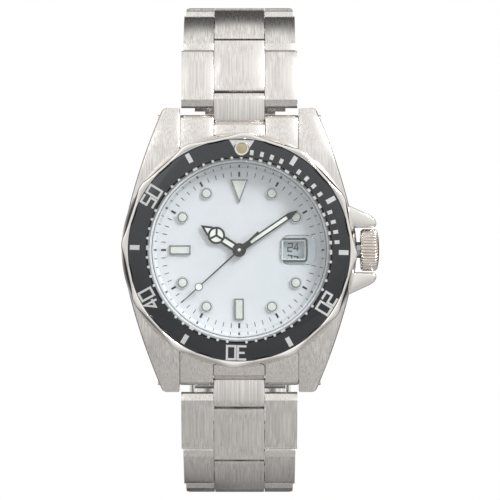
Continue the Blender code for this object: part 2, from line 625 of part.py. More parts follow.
def build_train(steel, brass, dark, white):
    """Everything that turns inside the movement."""
    bridge_top = BRIDGE_BOTTOM + BRIDGE_THICKNESS + SEAT_GAP
    plate_low = PLATE_BOTTOM - SEAT_GAP
    axis = (0.0, 0.0)
    seconds_radius = hypot(*STEP_WHEEL_CENTRE) - SMALL_PINION - MESH_GAP
    wheel("seconds_wheel", axis, seconds_radius, MID_WHEEL_LEVEL,
          (ARBOR_RADIUS, bridge_top, SECONDS_LEVEL + HAND_THICKNESS), brass, 24,
          (SMALL_PINION, LOW_WHEEL_LEVEL - 0.1, MID_WHEEL_LEVEL + 0.1))
    third_radius = hypot(*THIRD_WHEEL_CENTRE) - SMALL_PINION - MESH_GAP
    wheel("third_wheel", THIRD_WHEEL_CENTRE, third_radius, LOW_WHEEL_LEVEL,
          (ARBOR_RADIUS, bridge_top, plate_low), brass, 30,
          (SMALL_PINION, HIGH_WHEEL_LEVEL - 0.1, HIGH_WHEEL_LEVEL + 0.3))
    wheel("step_wheel", STEP_WHEEL_CENTRE, STEP_WHEEL_RADIUS, LOW_WHEEL_LEVEL,
          (ARBOR_RADIUS, bridge_top, plate_low), brass, 18,
          (SMALL_PINION, MID_WHEEL_LEVEL - 0.1, MID_WHEEL_LEVEL + 0.3))
    origin = (ROTOR_CENTRE[0], 0.0, ROTOR_CENTRE[1])
    reach = hypot(ROTOR_CENTRE[0] - STEP_WHEEL_CENTRE[0], ROTOR_CENTRE[1] - STEP_WHEEL_CENTRE[1])
    rotor_pinion = reach - STEP_WHEEL_RADIUS - MESH_GAP
    shoulder = LOW_WHEEL_LEVEL + WHEEL_THICKNESS + 0.2
    profile = [(0.0, bridge_top), (rotor_pinion, bridge_top), (rotor_pinion, shoulder),
               (ROTOR_RADIUS, shoulder), (ROTOR_RADIUS, plate_low - 0.2),
               (0.0, plate_low - 0.2)]
    turned("rotor", profile, dark, at=origin, steps=20)
    centre_radius = hypot(*THIRD_WHEEL_CENTRE) - SMALL_PINION - MESH_GAP
    centre = extruded("centre_wheel", toothed(axis, centre_radius, 26, 0.22), HIGH_WHEEL_LEVEL,
                      HIGH_WHEEL_LEVEL + WHEEL_THICKNESS, brass)
    cannon = turned("cannon", rod(CANNON_OUTER, HIGH_WHEEL_LEVEL, MINUTE_LEVEL + HAND_THICKNESS),
                    brass, steps=14)
    combine(centre, "UNION", [cannon])
    cannon_bore = turned("cannon_bore", rod(ARBOR_RADIUS + RUN_GAP / 2.0, 0.0, 20.0), brass,
                         steps=14)
    combine(centre, "DIFFERENCE", [cannon_bore])
    hour_level = PLATE_TOP + SEAT_GAP
    hour = extruded("hour_wheel", toothed(axis, HOUR_WHEEL_RADIUS, 24, 0.22), hour_level,
                    hour_level + WHEEL_THICKNESS, brass)
    pipe = turned("hour_pipe", rod(HOUR_PIPE_OUTER, hour_level, HOUR_LEVEL + HAND_THICKNESS),
                  brass, steps=16)
    combine(hour, "UNION", [pipe])
    pipe_bore = turned("hour_bore", rod(CANNON_OUTER + RUN_GAP / 2.0, 0.0, 20.0), brass,
                       steps=16)
    combine(hour, "DIFFERENCE", [pipe_bore])
    date = extruded("date_ring", circle(axis, DATE_RING_OUTER, 2 * DATE_RING_TEETH), hour_level,
                    hour_level + WHEEL_THICKNESS, white)
    teeth = extruded("date_teeth", toothed(axis, DATE_RING_INNER + 0.5, DATE_RING_TEETH, 0.5),
                     0.0, 20.0, white)
    combine(date, "DIFFERENCE", [teeth])


def build_movement(steel, brass, green, copper, plastic):
    """The fixed pieces of the quartz movement."""
    holder = turned("movement_ring", ring(PLATE_RADIUS + SEAT_GAP, BORE_RADIUS - SEAT_GAP,
                                          BACK_SPIGOT_TOP + SEAT_GAP, DIAL_BOTTOM - SEAT_GAP),
                    plastic, steps=ROUND)
    stem_way = turned("stem_way", rod(STEM_RADIUS + RUN_GAP, 0.0, GUARD_REACH), plastic,
                      axis="X", at=(0.0, CROWN_DEPTH, 0.0), steps=12)
    combine(holder, "DIFFERENCE", [stem_way])
    notch = PINION_RADIUS + RUN_GAP
    start = degrees(asin(notch / PLATE_RADIUS))
    outline = arc((0.0, 0.0), PLATE_RADIUS, start, 360.0 - start, 60)
    outline += [(STEM_END - RUN_GAP, -notch), (STEM_END - RUN_GAP, notch)]
    plate = extruded("main_plate", outline, PLATE_BOTTOM, PLATE_TOP, brass)
    bore = turned("plate_bore", rod(CANNON_OUTER + RUN_GAP, 0.0, 20.0), brass, steps=16)
    combine(plate, "DIFFERENCE", [bore])
    shape = [(-6.6, 4.3), (-6.5, 2.8), (-2.0, 0.2), (-0.9, -1.8), (1.8, -3.9), (3.1, -3.6),
             (3.0, -1.0), (6.2, 2.2), (5.6, 4.8), (1.2, 7.1), (0.0, 7.1)]
    bridge = extruded("train_bridge", shape, BRIDGE_BOTTOM, BRIDGE_BOTTOM + BRIDGE_THICKNESS,
                      brass)
    pillars = []
    for x, z in ((0.6, 6.4), (2.4, -3.2), (-5.9, 3.6)):
        pillars.append(turned("pillar", rod(0.4, BRIDGE_BOTTOM + 0.1, PLATE_BOTTOM - SEAT_GAP),
                              brass, at=(x, 0.0, z), steps=10))
    combine(bridge, "UNION", pillars)
    board_top = PLATE_BOTTOM - SEAT_GAP
    board = arc((0.0, 0.0), PLATE_RADIUS - 0.4, 80.0, 215.0, 20)
    board += arc((0.0, 0.0), 7.4, 215.0, 80.0, 20)
    extruded("circuit_board", board, board_top - BOARD_THICKNESS, board_top, green)
    battery_top = board_top - BOARD_THICKNESS - SEAT_GAP
    edge = 0.25
    cell = [(0.0, BATTERY_BOTTOM), (BATTERY_RADIUS - 2.0 * edge, BATTERY_BOTTOM),
            (BATTERY_RADIUS - edge, BATTERY_BOTTOM + edge),
            (BATTERY_RADIUS, BATTERY_BOTTOM + 2.0 * edge), (BATTERY_RADIUS, battery_top),
            (0.0, battery_top)]
    turned("battery", cell, steel, at=(BATTERY_CENTRE[0], 0.0, BATTERY_CENTRE[1]), steps=32)
    x, z = BATTERY_CENTRE
    strap_top = BATTERY_BOTTOM - SEAT_GAP
    strap = [(x - 4.2, z - 0.9), (x + 4.4, z - 0.9), (x + 4.4, z + 0.9), (x - 4.2, z + 0.9)]
    extruded("battery_strap", strap, strap_top - BOARD_THICKNESS, strap_top, steel)
    half = COIL_LENGTH / 2.0
    flange = 0.35
    bobbin = [(0.0, -half - 1.0), (0.35, -half - 1.0), (0.35, -half), (COIL_RADIUS, -half),
              (COIL_RADIUS, flange - half), (COIL_RADIUS - 0.12, flange - half),
              (COIL_RADIUS - 0.12, half - flange), (COIL_RADIUS, half - flange),
              (COIL_RADIUS, half), (0.35, half), (0.35, half + 1.0), (0.0, half + 1.0)]
    turned("coil", bobbin, copper, axis="X", at=(COIL_CENTRE[0], COIL_LEVEL, COIL_CENTRE[1]),
           steps=16)
    stator_low = 3.0
    legs = [(2.9, 1.5), (2.9, 4.5), (6.0, 4.5), (7.2, -1.0), (7.4, -7.5), (5.9, -7.5),
            (5.6, -2.0), (4.4, 1.0)]
    stator = extruded("stator", legs, stator_low, stator_low + 0.2, steel)
    eye = turned("stator_eye", rod(ROTOR_RADIUS + RUN_GAP, 0.0, 20.0), steel,
                 at=(ROTOR_CENTRE[0], 0.0, ROTOR_CENTRE[1]), steps=20)
    combine(stator, "DIFFERENCE", [eye])
    half = QUARTZ_LENGTH / 2.0
    turned("quartz_can", rod(QUARTZ_RADIUS, -half, half), steel, axis="X",
           at=(QUARTZ_CENTRE[0], board_top - BOARD_THICKNESS - QUARTZ_RADIUS - SEAT_GAP,
               QUARTZ_CENTRE[1]), steps=16)


# ---- bracelet ---------------------------------------------------------------------------

def chain_points():
    """Reach and depth of every link hinge on one side, from the end link to the clasp."""
    points = [FIRST_PIVOT]
    for tilt in LINK_TILTS:
        reach, depth = points[-1]
        turn = radians(tilt)
        points.append((reach + LINK_PITCH * cos(turn), depth - LINK_PITCH * sin(turn)))
    return points


def link(name, index, side, steel):
    """One link: a centre piece and two outer pieces on a tube, and the pin it hangs on."""
    half = LINK_HALF_THICKNESS
    hollow = half + LINK_GAP
    corner = degrees(asin(half / hollow))
    outer = arc((0.0, 0.0), half, 90.0, 270.0, 6)
    outer += arc((LINK_PITCH, 0.0), hollow, 180.0 + corner, 180.0 - corner, 4)
    middle = arc((LINK_PITCH, 0.0), half, -90.0, 90.0, 6)
    middle += arc((0.0, 0.0), hollow, corner, -corner, 4)
    share = (index + 0.5) / len(LINK_TILTS)
    width = END_WIDTH + (CLASP_END_WIDTH - END_WIDTH) * share
    inside = CENTRE_WIDTH / 2.0
    piece = extruded(name, middle, -inside, inside, steel, plane="side")
    hole = rod(PIN_RADIUS + RUN_GAP, -inside - SEAM / 2.0, inside + SEAM / 2.0)
    combine(piece, "DIFFERENCE", [turned(name + "_hole", hole, steel, axis="X",
                                         at=(0.0, 0.0, LINK_PITCH), steps=8)])
    reach = width / 2.0 - 0.6
    parts = [extruded(name + "_outer", outer, sign * (inside + SEAM), sign * width / 2.0, steel,
                      plane="side") for sign in (-1.0, 1.0)]
    parts.append(turned(name + "_pin", rod(PIN_RADIUS, -reach, reach), steel, axis="X",
                        steps=8))
    parts.append(turned(name + "_tube", rod(TUBE_LINK_RADIUS, -reach, reach), steel, axis="X",
                        at=(0.0, 0.0, LINK_PITCH / 2.0), steps=8))
    combine(piece, "UNION", parts)
    reach, depth = chain_points()[index]
    tilt = radians(LINK_TILTS[index])
    piece.location = (0.0, -depth * MM, side * reach * MM)
    piece.rotation_euler = (-tilt if side > 0.0 else tilt - pi, 0.0, 0.0)


def end_link(name, side, steel):
    """End link between the lugs, with the tongue that the first link turns on."""
    half = LUG_SPACE / 2.0 - SEAT_GAP
    body = BODY_RADIUS + SEAT_GAP
    root = degrees(acos(half / body))
    slot = CENTRE_WIDTH / 2.0 + SEAM
    outline = arc((0.0, 0.0), body, root, 180.0 - root, 12)
    shoulder = END_LINK_REACH - 1.2
    outline += [(-half, END_LINK_REACH), (-slot, END_LINK_REACH), (-slot, shoulder),
                (slot, shoulder), (slot, END_LINK_REACH), (half, END_LINK_REACH)]
    if side < 0.0:
        outline = [(x, -z) for x, z in outline[::-1]]
    piece = extruded(name, outline, LUG_FOOT - 1.0, CASE_TOP + 1.0, steel)
    steps = 6
    profile = []
    for step in range(steps + 1):
        reach = LUG_BEND + (LUG_REACH - LUG_BEND) * step / steps
        share = (reach - LUG_BEND) / (LUG_REACH - LUG_BEND)
        drop = CASE_TOP - END_LINK_TOP
        profile.append((side * reach, CASE_TOP - drop - (CASE_TOP - LUG_TOP) * share ** 2))
    profile += [(side * LUG_REACH, END_LINK_FOOT), (side * LUG_BEND, END_LINK_FOOT)]
    combine(piece, "INTERSECT", [extruded(name + "_side", profile, -half - 1.0, half + 1.0,
                                          steel, plane="side")])
    reach, depth = FIRST_PIVOT
    thick = LINK_HALF_THICKNESS
    tongue = arc((reach, depth), thick, -90.0, 90.0, 8)
    tongue += [(shoulder - 1.0, depth + thick), (shoulder - 1.0, depth - thick)]
    tongue = [(side * z, level) for z, level in tongue]
    inside = CENTRE_WIDTH / 2.0
    combine(piece, "UNION", [extruded(name + "_tongue", tongue, -inside, inside, steel,
                                      plane="side")])
    holes = []
    for z, level, radius in ((reach, depth, PIN_RADIUS + RUN_GAP),
                             (LUG_HOLE_REACH, LUG_HOLE_DEPTH, SPRING_BAR_RADIUS + SEAT_GAP)):
        holes.append(turned(name + "_hole", rod(radius, -half - 1.0, half + 1.0), steel,
                            axis="X", at=(0.0, level, side * z), steps=12))
    combine(piece, "DIFFERENCE", holes)


def spring_bar(name, half, tip, at, steel):
    """A bar with a spring-loaded tip at each end."""
    narrow = SPRING_BAR_RADIUS * 0.6
    profile = [(0.0, -tip), (narrow, -tip), (narrow, -half), (SPRING_BAR_RADIUS, -half),
               (SPRING_BAR_RADIUS, half), (narrow, half), (narrow, tip), (0.0, tip)]
    turned(name, profile, steel, axis="X", at=at, steps=12)


def build_bracelet(steel):
    """Both halves of the bracelet with the end links and spring bars at the case."""
    for label, side in (("12", 1.0), ("6", -1.0)):
        end_link("end_link_" + label, side, steel)
        spring_bar("spring_bar_" + label, LUG_SPACE / 2.0 - 0.4, LUG_SPACE / 2.0 + 1.6,
                   (0.0, LUG_HOLE_DEPTH, side * LUG_HOLE_REACH), steel)
        for index in range(len(LINK_TILTS)):
            link("link_%s_%d" % (label, index + 1), index, side, steel)


# ---- clasp ------------------------------------------------------------------------------

def bow_centre():
    """Depth of the point that the clasp curves around."""
    reach, depth = chain_points()[-1]
    return depth + sqrt(CLASP_BEND ** 2 - reach ** 2)


def bow_point(radius, reach):
    """A point on the clasp's curve, straight out from where its end-pivot line reads reach."""
    turn = asin(reach / CLASP_BEND)
    return (radius * sin(turn), bow_centre() - radius * cos(turn))


def bow_strip(low, high, start, stop):
    """Side outline of a curved strip between two radii."""
    steps = 6
    inner = [bow_point(low, start + (stop - start) * step / steps) for step in range(steps + 1)]
    outer = [bow_point(high, start + (stop - start) * step / steps) for step in range(steps + 1)]
    return inner + outer[::-1]


def build_clasp(steel):
    """Fold-over clasp: inner blade, outer blade and cover, with the bar at the 6 side."""
    end_reach = chain_points()[-1][0]
    half = BLADE_WIDTH / 2.0
    knuckle = KNUCKLE_WIDTH / 2.0
    blade = BLADE_THICKNESS
    inner_low = CLASP_BEND - blade / 2.0
    outer_low = inner_low + 2.0 * blade + LAYER_GAP
    cover_low = outer_low + blade + 2.0 * LAYER_GAP
    fold_radius = inner_low + KNUCKLE_RADIUS + blade / 2.0
    fold = bow_point(fold_radius, -FOLD_REACH)
    hinge = bow_point(outer_low, COVER_HINGE_REACH)
    tail = bow_point(CLASP_BEND, end_reach)
    free = bow_point(CLASP_BEND, -end_reach)

    def across(name, radius, start, stop, point):
        """A rod along the hinge line through a point."""
        return turned(name, rod(radius, start, stop), steel, axis="X",
                      at=(0.0, point[1], point[0]), steps=10)

    clear = KNUCKLE_RADIUS + LAYER_GAP
    tail_stop = end_reach - LINK_HALF_THICKNESS - 2.0 * LINK_GAP
    strip = bow_strip(inner_low, inner_low + blade, clear - FOLD_REACH, tail_stop)
    inner = extruded("clasp_blade_inner", strip, -half, half, steel, plane="side",
                     origin=(0.0, tail[1], tail[0]))
    web = bow_strip(inner_low, inner_low + blade, -FOLD_REACH, clear - FOLD_REACH + 0.3)
    parts = [extruded("inner_web", web, -knuckle, knuckle, steel, plane="side"),
             across("inner_knuckle", KNUCKLE_RADIUS, -knuckle, knuckle, fold)]
    ear_in = CENTRE_WIDTH / 2.0 + 2.0 * SEAM
    ear = bow_strip(inner_low, inner_low + blade, tail_stop - 0.3, end_reach)
    for sign in (-1.0, 1.0):
        parts.append(extruded("inner_ear", ear, sign * ear_in, sign * (half - 0.3), steel,
                              plane="side"))
        parts.append(across("ear_eye", KNUCKLE_RADIUS, sign * ear_in, sign * (half - 0.3), tail))
    parts.append(across("tail_pin", PIN_RADIUS, 0.6 - half, half - 0.6, tail))
    combine(inner, "UNION", parts)
    hole = across("fold_hole", PIN_RADIUS + RUN_GAP, -knuckle - 1.0, knuckle + 1.0, fold)
    combine(inner, "DIFFERENCE", [hole])

    strip = bow_strip(outer_low, outer_low + blade, SEAM - FOLD_REACH, COVER_HINGE_REACH - SEAM)
    outer = extruded("clasp_blade_outer", strip, -half, half, steel, plane="side",
                     origin=(0.0, fold[1], fold[0]))
    slot = bow_strip(fold_radius - 5.0, outer_low + 5.0, -FOLD_REACH - 2.0, clear - FOLD_REACH)
    gap = knuckle + SEAM
    combine(outer, "DIFFERENCE", [extruded("outer_slot", slot, -gap, gap, steel,
                                           plane="side")])
    edge = half - SEAM
    parts = [across("outer_knuckle", KNUCKLE_RADIUS, sign * gap, sign * edge, fold)
             for sign in (-1.0, 1.0)]
    parts.append(across("fold_pin", PIN_RADIUS, -half + 0.5, half - 0.5, fold))
    parts.append(across("hinge_knuckle", KNUCKLE_RADIUS, -edge, edge, hinge))
    cover_half = COVER_WIDTH / 2.0
    parts.append(across("hinge_pin", PIN_RADIUS, 0.2 - cover_half, cover_half - 0.2, hinge))
    combine(outer, "UNION", parts)

    stop = COVER_HINGE_REACH + KNUCKLE_RADIUS
    plate = bow_strip(cover_low, cover_low + COVER_WALL, -COVER_END, stop)
    cover = extruded("clasp_cover", plate, -cover_half, cover_half, steel, plane="side",
                     origin=(0.0, hinge[1], hinge[0]))
    wall = bow_strip(inner_low, cover_low + COVER_WALL / 2.0, -end_reach - 1.2, stop)
    walls = [extruded("cover_wall", wall, sign * (cover_half - COVER_WALL), sign * cover_half,
                      steel, plane="side") for sign in (-1.0, 1.0)]
    combine(cover, "UNION", walls)
    holes = [across("cover_hole", PIN_RADIUS + RUN_GAP, -cover_half - 1.0, cover_half + 1.0,
                    point) for point in (hinge, free)]
    combine(cover, "DIFFERENCE", holes)
    bar = cover_half - COVER_WALL - RUN_GAP
    profile = rod(PIN_RADIUS, -bar, bar)
    turned("clasp_spring_bar", profile, steel, axis="X", at=(0.0, free[1], free[0]), steps=12)


# ---- watch ------------------------------------------------------------------------------

def main():
    for old in list(bpy.data.objects):
        bpy.data.objects.remove(old, do_unlink=True)
    polished = finish("polished_steel", (0.78, 0.76, 0.74), 1.0, 0.12)
    brushed = finish("brushed_steel", (0.66, 0.65, 0.63), 1.0, 0.34)
    spring = finish("spring_steel", (0.55, 0.56, 0.58), 1.0, 0.25)
    brass = finish("brass", (0.75, 0.58, 0.28), 1.0, 0.3)
    copper = finish("copper_wire", (0.72, 0.33, 0.14), 1.0, 0.35)
    black = finish("black_lacquer", (0.015, 0.016, 0.02), 0.0, 0.2)
    enamel = finish("white_dial", (0.78, 0.82, 0.85), 0.0, 0.35)
    lume = finish("lume", (0.72, 0.66, 0.46), 0.0, 0.6)
    glass = finish("crystal_glass", (0.95, 0.97, 0.97), 0.0, 0.02)
    rubber = finish("seal_rubber", (0.03, 0.03, 0.03), 0.0, 0.8)
    plastic = finish("holder_plastic", (0.6, 0.6, 0.58), 0.0, 0.5)
    board = finish("board_green", (0.04, 0.2, 0.08), 0.0, 0.4)
    build_case(brushed)
    build_back(brushed, rubber)
    build_crystal(glass, rubber)
    build_dial(enamel, polished, enamel)
    build_bezel(polished, black, lume)
    build_crown(polished, brass, rubber)
    build_hands(black)
    build_train(spring, brass, black, enamel)
    build_movement(spring, brass, board, copper, plastic)
    build_bracelet(brushed)
    build_clasp(polished)


main()
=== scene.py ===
"""Looks of a dive watch: steel case and bracelet, rotating bezel, white dial and clasp.

All new pieces are modelled in millimetres in the part's own directions: x towards the crown,
z towards 12 o'clock, and a depth that grows from the case back towards the crystal.
"""
import json
import logging
from dataclasses import dataclass, field
from enum import Enum
from math import asin, atan2, cos, degrees, hypot, pi, radians, sin, sqrt
from typing import Callable

import bmesh
import bpy
from mathutils import Matrix, Vector

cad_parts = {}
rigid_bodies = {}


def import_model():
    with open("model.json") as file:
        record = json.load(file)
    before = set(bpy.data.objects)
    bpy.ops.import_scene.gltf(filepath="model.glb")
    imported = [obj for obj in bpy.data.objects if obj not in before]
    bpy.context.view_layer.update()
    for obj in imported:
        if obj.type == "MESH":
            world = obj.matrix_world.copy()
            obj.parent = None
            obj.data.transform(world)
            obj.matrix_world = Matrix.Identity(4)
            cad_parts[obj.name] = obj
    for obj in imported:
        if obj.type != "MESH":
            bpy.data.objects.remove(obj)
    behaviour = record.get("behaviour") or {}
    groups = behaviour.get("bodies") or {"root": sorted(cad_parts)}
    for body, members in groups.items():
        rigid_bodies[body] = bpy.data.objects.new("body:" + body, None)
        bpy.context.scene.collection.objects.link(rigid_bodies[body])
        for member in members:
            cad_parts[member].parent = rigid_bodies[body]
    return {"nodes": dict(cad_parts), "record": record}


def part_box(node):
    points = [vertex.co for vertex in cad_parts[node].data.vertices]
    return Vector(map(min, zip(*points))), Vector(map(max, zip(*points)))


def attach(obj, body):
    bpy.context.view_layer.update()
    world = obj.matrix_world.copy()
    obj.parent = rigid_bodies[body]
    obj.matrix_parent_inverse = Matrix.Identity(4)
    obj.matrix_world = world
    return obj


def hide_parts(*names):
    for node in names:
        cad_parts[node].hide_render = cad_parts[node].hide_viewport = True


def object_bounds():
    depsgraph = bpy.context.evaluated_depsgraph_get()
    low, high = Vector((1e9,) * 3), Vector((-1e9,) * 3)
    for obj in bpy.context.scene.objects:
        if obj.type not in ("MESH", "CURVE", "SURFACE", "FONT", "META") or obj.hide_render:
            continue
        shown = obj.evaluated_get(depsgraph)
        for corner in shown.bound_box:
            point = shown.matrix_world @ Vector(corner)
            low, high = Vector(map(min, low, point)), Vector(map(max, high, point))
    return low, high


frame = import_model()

LOG = logging.getLogger("dive_watch")
MM = 0.001
CAD_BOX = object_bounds()
Point = tuple[float, float]
Point3 = tuple[float, float, float]
EdgeTest = Callable[[bmesh.types.BMEdge], bool]
FaceTest = Callable[[bmesh.types.BMFace], bool]
WHITE = (1.0, 1.0, 1.0, 1.0)
# Faces whose x leans more than this share of the normal lie on a flank and are buffed.
FLANK_FACING = 0.7
LINKS_PER_SIDE = 6


class Grain(Enum):
    """Which way a brushed or ground surface runs."""

    LENGTH = "length"
    ROUND = "round"
    ACROSS = "across"


# ---- small tools ------------------------------------------------------------------------

def linear(code: str) -> tuple[float, float, float, float]:
    """Turn an sRGB hex colour into linear light.

    Args:
        code: six hex digits, with or without a leading hash.

    Returns:
        Red, green, blue and an alpha of one.
    """
    digits = code.lstrip("#")
    channels = []
    for start in (0, 2, 4):
        value = int(digits[start:start + 2], 16) / 255.0
        channels.append(value / 12.92 if value <= 0.04045 else ((value + 0.055) / 1.055) ** 2.4)
    return (channels[0], channels[1], channels[2], 1.0)


def arc(centre: Point, radius: float, start: float, stop: float, steps: int) -> list[Point]:
    """Points on an arc.

    Args:
        centre: the arc's centre.
        radius: its radius.
        start: first angle in degrees.
        stop: last angle in degrees.
        steps: how many pieces the arc has.

    Returns:
        The points, both ends included.
    """
    points = []
    for step in range(steps + 1):
        angle = radians(start + (stop - start) * step / steps)
        points.append((centre[0] + radius * cos(angle), centre[1] + radius * sin(angle)))
    return points


def circle(centre: Point, radius: float, steps: int) -> list[Point]:
    """A closed ring of points round a centre."""
    return arc(centre, radius, 0.0, 360.0, steps)[:-1]


def clock(angle: float, reach: float, across: float = 0.0) -> Point:
    """The x and z of a point at a clock angle, moved across it clockwise."""
    turn = radians(angle)
    return (reach * sin(turn) + across * cos(turn), reach * cos(turn) - across * sin(turn))


def add_node(tree: bpy.types.NodeTree, kind: str, settings: dict | None = None,
             links: dict | None = None) -> bpy.types.Node:
    """Add one node with its settings and its incoming links.

    Args:
        tree: the node tree.
        kind: the node's type name.
        settings: attribute or socket names with their values.
        links: input sockets, by name or index, with the output socket that feeds each.

    Returns:
        The new node.
    """
    node = tree.nodes.new(kind)
    for key, value in (settings or {}).items():
        if isinstance(key, str) and hasattr(node, key) and key not in node.inputs:
            setattr(node, key, value)
        else:
            node.inputs[key].default_value = value
    for key, source in (links or {}).items():
        tree.links.new(source, node.inputs[key])
    return node


def ramp(tree: bpy.types.NodeTree, source: bpy.types.NodeSocket,
         stops: list[tuple[float, tuple]]) -> bpy.types.NodeSocket:
    """Map a value to colours.

    Args:
        tree: the node tree.
        source: the value's socket.
        stops: position and colour pairs.

    Returns:
        The colour socket.
    """
    node = add_node(tree, "ShaderNodeValToRGB", links={"Fac": source})
    elements = node.color_ramp.elements
    while len(elements) < len(stops):
        elements.new(0.5)
    for element, (place, colour) in zip(elements, stops):
        element.position = place
        element.color = colour
    return node.outputs["Color"]


# ---- finishes ---------------------------------------------------------------------------

@dataclass(frozen=True)
class Finish:
    """A procedural material with grain, wear or mottling at its real scale.

    Attributes:
        name: what the real surface is and how it was made.
        light: its main colour.
        dark: the colour of its darker patches.
        metallic: one for bare metal.
        roughness: the lowest and highest roughness.
        grain_mm: size of the pattern across, through and along the grain.
        bump_mm: height of the relief.
        coat: strength of a clear lacquer.
        contrast: pattern values at which the dark and the light colour are full.
        broad: share of the wide mottling in the pattern.
        specular: strength of the plain surface reflection.
    """

    name: str
    light: str
    dark: str
    metallic: float = 1.0
    roughness: tuple[float, float] = (0.2, 0.3)
    grain_mm: Point3 = (1.0, 1.0, 1.0)
    bump_mm: float = 0.002
    coat: float = 0.0
    contrast: tuple[float, float] = (0.3, 0.7)
    broad: float = 0.4
    specular: float = 0.5

    def material(self, on_frame: bool = False) -> bpy.types.Material:
        """Build the material once and hand it out afterwards.

        Args:
            on_frame: whether it goes on a frame node, which stores no grain of its own.

        Returns:
            The material.
        """
        name = self.name + ("_on_frame" if on_frame else "")
        found = bpy.data.materials.get(name)
        if found:
            return found
        material = bpy.data.materials.new(name)
        material.use_nodes = True
        tree = material.node_tree
        shader = tree.nodes["Principled BSDF"]
        if on_frame:
            place = add_node(tree, "ShaderNodeTexCoord").outputs["Object"]
        else:
            place = add_node(tree, "ShaderNodeAttribute",
                             {"attribute_name": "grain"}).outputs["Vector"]
        scale = tuple(1.0 / (size * MM) for size in self.grain_mm)
        mapped = add_node(tree, "ShaderNodeMapping", {"Scale": scale}, {"Vector": place})
        fine = add_node(tree, "ShaderNodeTexNoise", {"Scale": 1.0, "Detail": 3.0,
                                                     "Roughness": 0.6},
                        {"Vector": mapped.outputs["Vector"]})
        broad_scale = tuple(value * 0.11 for value in scale)
        broad_map = add_node(tree, "ShaderNodeMapping", {"Scale": broad_scale},
                             {"Vector": place})
        broad = add_node(tree, "ShaderNodeTexNoise", {"Scale": 1.0, "Detail": 2.0},
                         {"Vector": broad_map.outputs["Vector"]})
        mixed = add_node(tree, "ShaderNodeMath", {"operation": "MULTIPLY_ADD", 1: 1.0 - self.broad,
                                                  2: 0.0},
                         {0: fine.outputs["Fac"]})
        both = add_node(tree, "ShaderNodeMath", {"operation": "MULTIPLY_ADD", 1: self.broad},
                        {0: broad.outputs["Fac"], 2: mixed.outputs["Value"]})
        low, high = self.contrast
        colour = ramp(tree, both.outputs["Value"], [(low, linear(self.dark)),
                                                    (high, linear(self.light))])
        spread = add_node(tree, "ShaderNodeMapRange",
                          {"From Min": low, "From Max": high, "To Min": self.roughness[1],
                           "To Max": self.roughness[0]}, {"Value": both.outputs["Value"]})
        relief = add_node(tree, "ShaderNodeBump", {"Strength": 1.0,
                                                   "Distance": self.bump_mm * MM},
                          {"Height": fine.outputs["Fac"]})
        tree.links.new(colour, shader.inputs["Base Color"])
        tree.links.new(spread.outputs["Result"], shader.inputs["Roughness"])
        tree.links.new(relief.outputs["Normal"], shader.inputs["Normal"])
        shader.inputs["Metallic"].default_value = self.metallic
        shader.inputs["Coat Weight"].default_value = self.coat
        shader.inputs["Specular IOR Level"].default_value = self.specular
        shader.inputs["Coat Roughness"].default_value = 0.05
        return material


@dataclass(frozen=True)
class ClearFinish:
    """Mineral crystal: clear, polished, with a faint haze of wiping marks.

    Attributes:
        name: what the glass is.
        tint: its colour by transmission.
        index: its refractive index.
        sheen: how much of the plain surface reflection the anti-glare film leaves.
    """

    name: str
    tint: str
    index: float = 1.52
    sheen: float = 0.2

    def material(self, on_frame: bool = False) -> bpy.types.Material:
        """Build the glass once; lamps shine through it.

        Args:
            on_frame: taken as the other finishes take it; the glass is the same either way.

        Returns:
            The material.
        """
        found = bpy.data.materials.get(self.name)
        if found:
            return found
        material = bpy.data.materials.new(self.name)
        material.use_nodes = True
        tree = material.node_tree
        shader = tree.nodes["Principled BSDF"]
        shader.inputs["Base Color"].default_value = linear(self.tint)
        shader.inputs["Transmission Weight"].default_value = 1.0
        shader.inputs["IOR"].default_value = self.index
        shader.inputs["Specular IOR Level"].default_value = self.sheen
        place = add_node(tree, "ShaderNodeTexCoord")
        haze = add_node(tree, "ShaderNodeTexNoise", {"Scale": 180.0, "Detail": 4.0},
                        {"Vector": place.outputs["Object"]})
        rough = add_node(tree, "ShaderNodeMapRange", {"From Min": 0.45, "From Max": 0.75,
                                                      "To Min": 0.0, "To Max": 0.035},
                         {"Value": haze.outputs["Fac"]})
        tree.links.new(rough.outputs["Result"], shader.inputs["Roughness"])
        path = add_node(tree, "ShaderNodeLightPath")
        clear = add_node(tree, "ShaderNodeBsdfTransparent", {"Color": linear(self.tint)})
        mix = add_node(tree, "ShaderNodeMixShader",
                       links={0: path.outputs["Is Shadow Ray"], 1: shader.outputs["BSDF"],
                              2: clear.outputs["BSDF"]})
        tree.links.new(mix.outputs["Shader"], tree.nodes["Material Output"].inputs["Surface"])
        return material


# 316L steel drawn over a belt: fine lines along the piece, drawn twice as wide as real ones.
BRUSHED = Finish("brushed_steel_316L", "#F1EEEA", "#CBC5C0", 1.0, (0.15, 0.29),
                 (0.18, 0.18, 11.0), 0.005, 0.0, (0.34, 0.66), 0.12)
# The same steel buffed to a mirror, with faint wiping marks.
POLISHED = Finish("polished_steel_316L", "#F2EFEB", "#E6E2DD", 1.0, (0.05, 0.12),
                  (2.5, 2.5, 2.5), 0.0004)
# The bezel ring is buffed to a sharper mirror than the case.
BEZEL_STEEL = Finish("mirror_buffed_bezel_steel", "#F2EFEB", "#EAE6E1", 1.0, (0.03, 0.07),
                     (3.0, 3.0, 3.0), 0.0002)
# Plated marker frames, darker than the case.
MARKER_STEEL = Finish("plated_marker_frame", "#9A9DA0", "#6F7275", 1.0, (0.08, 0.16),
                      (0.5, 0.5, 0.5), 0.0004)
# Buffed crown steel, a little warmer from handling.
CROWN_STEEL = Finish("polished_crown_steel", "#EAE4DD", "#CFC6BD", 1.0, (0.08, 0.18),
                     (1.2, 1.2, 1.2), 0.001)
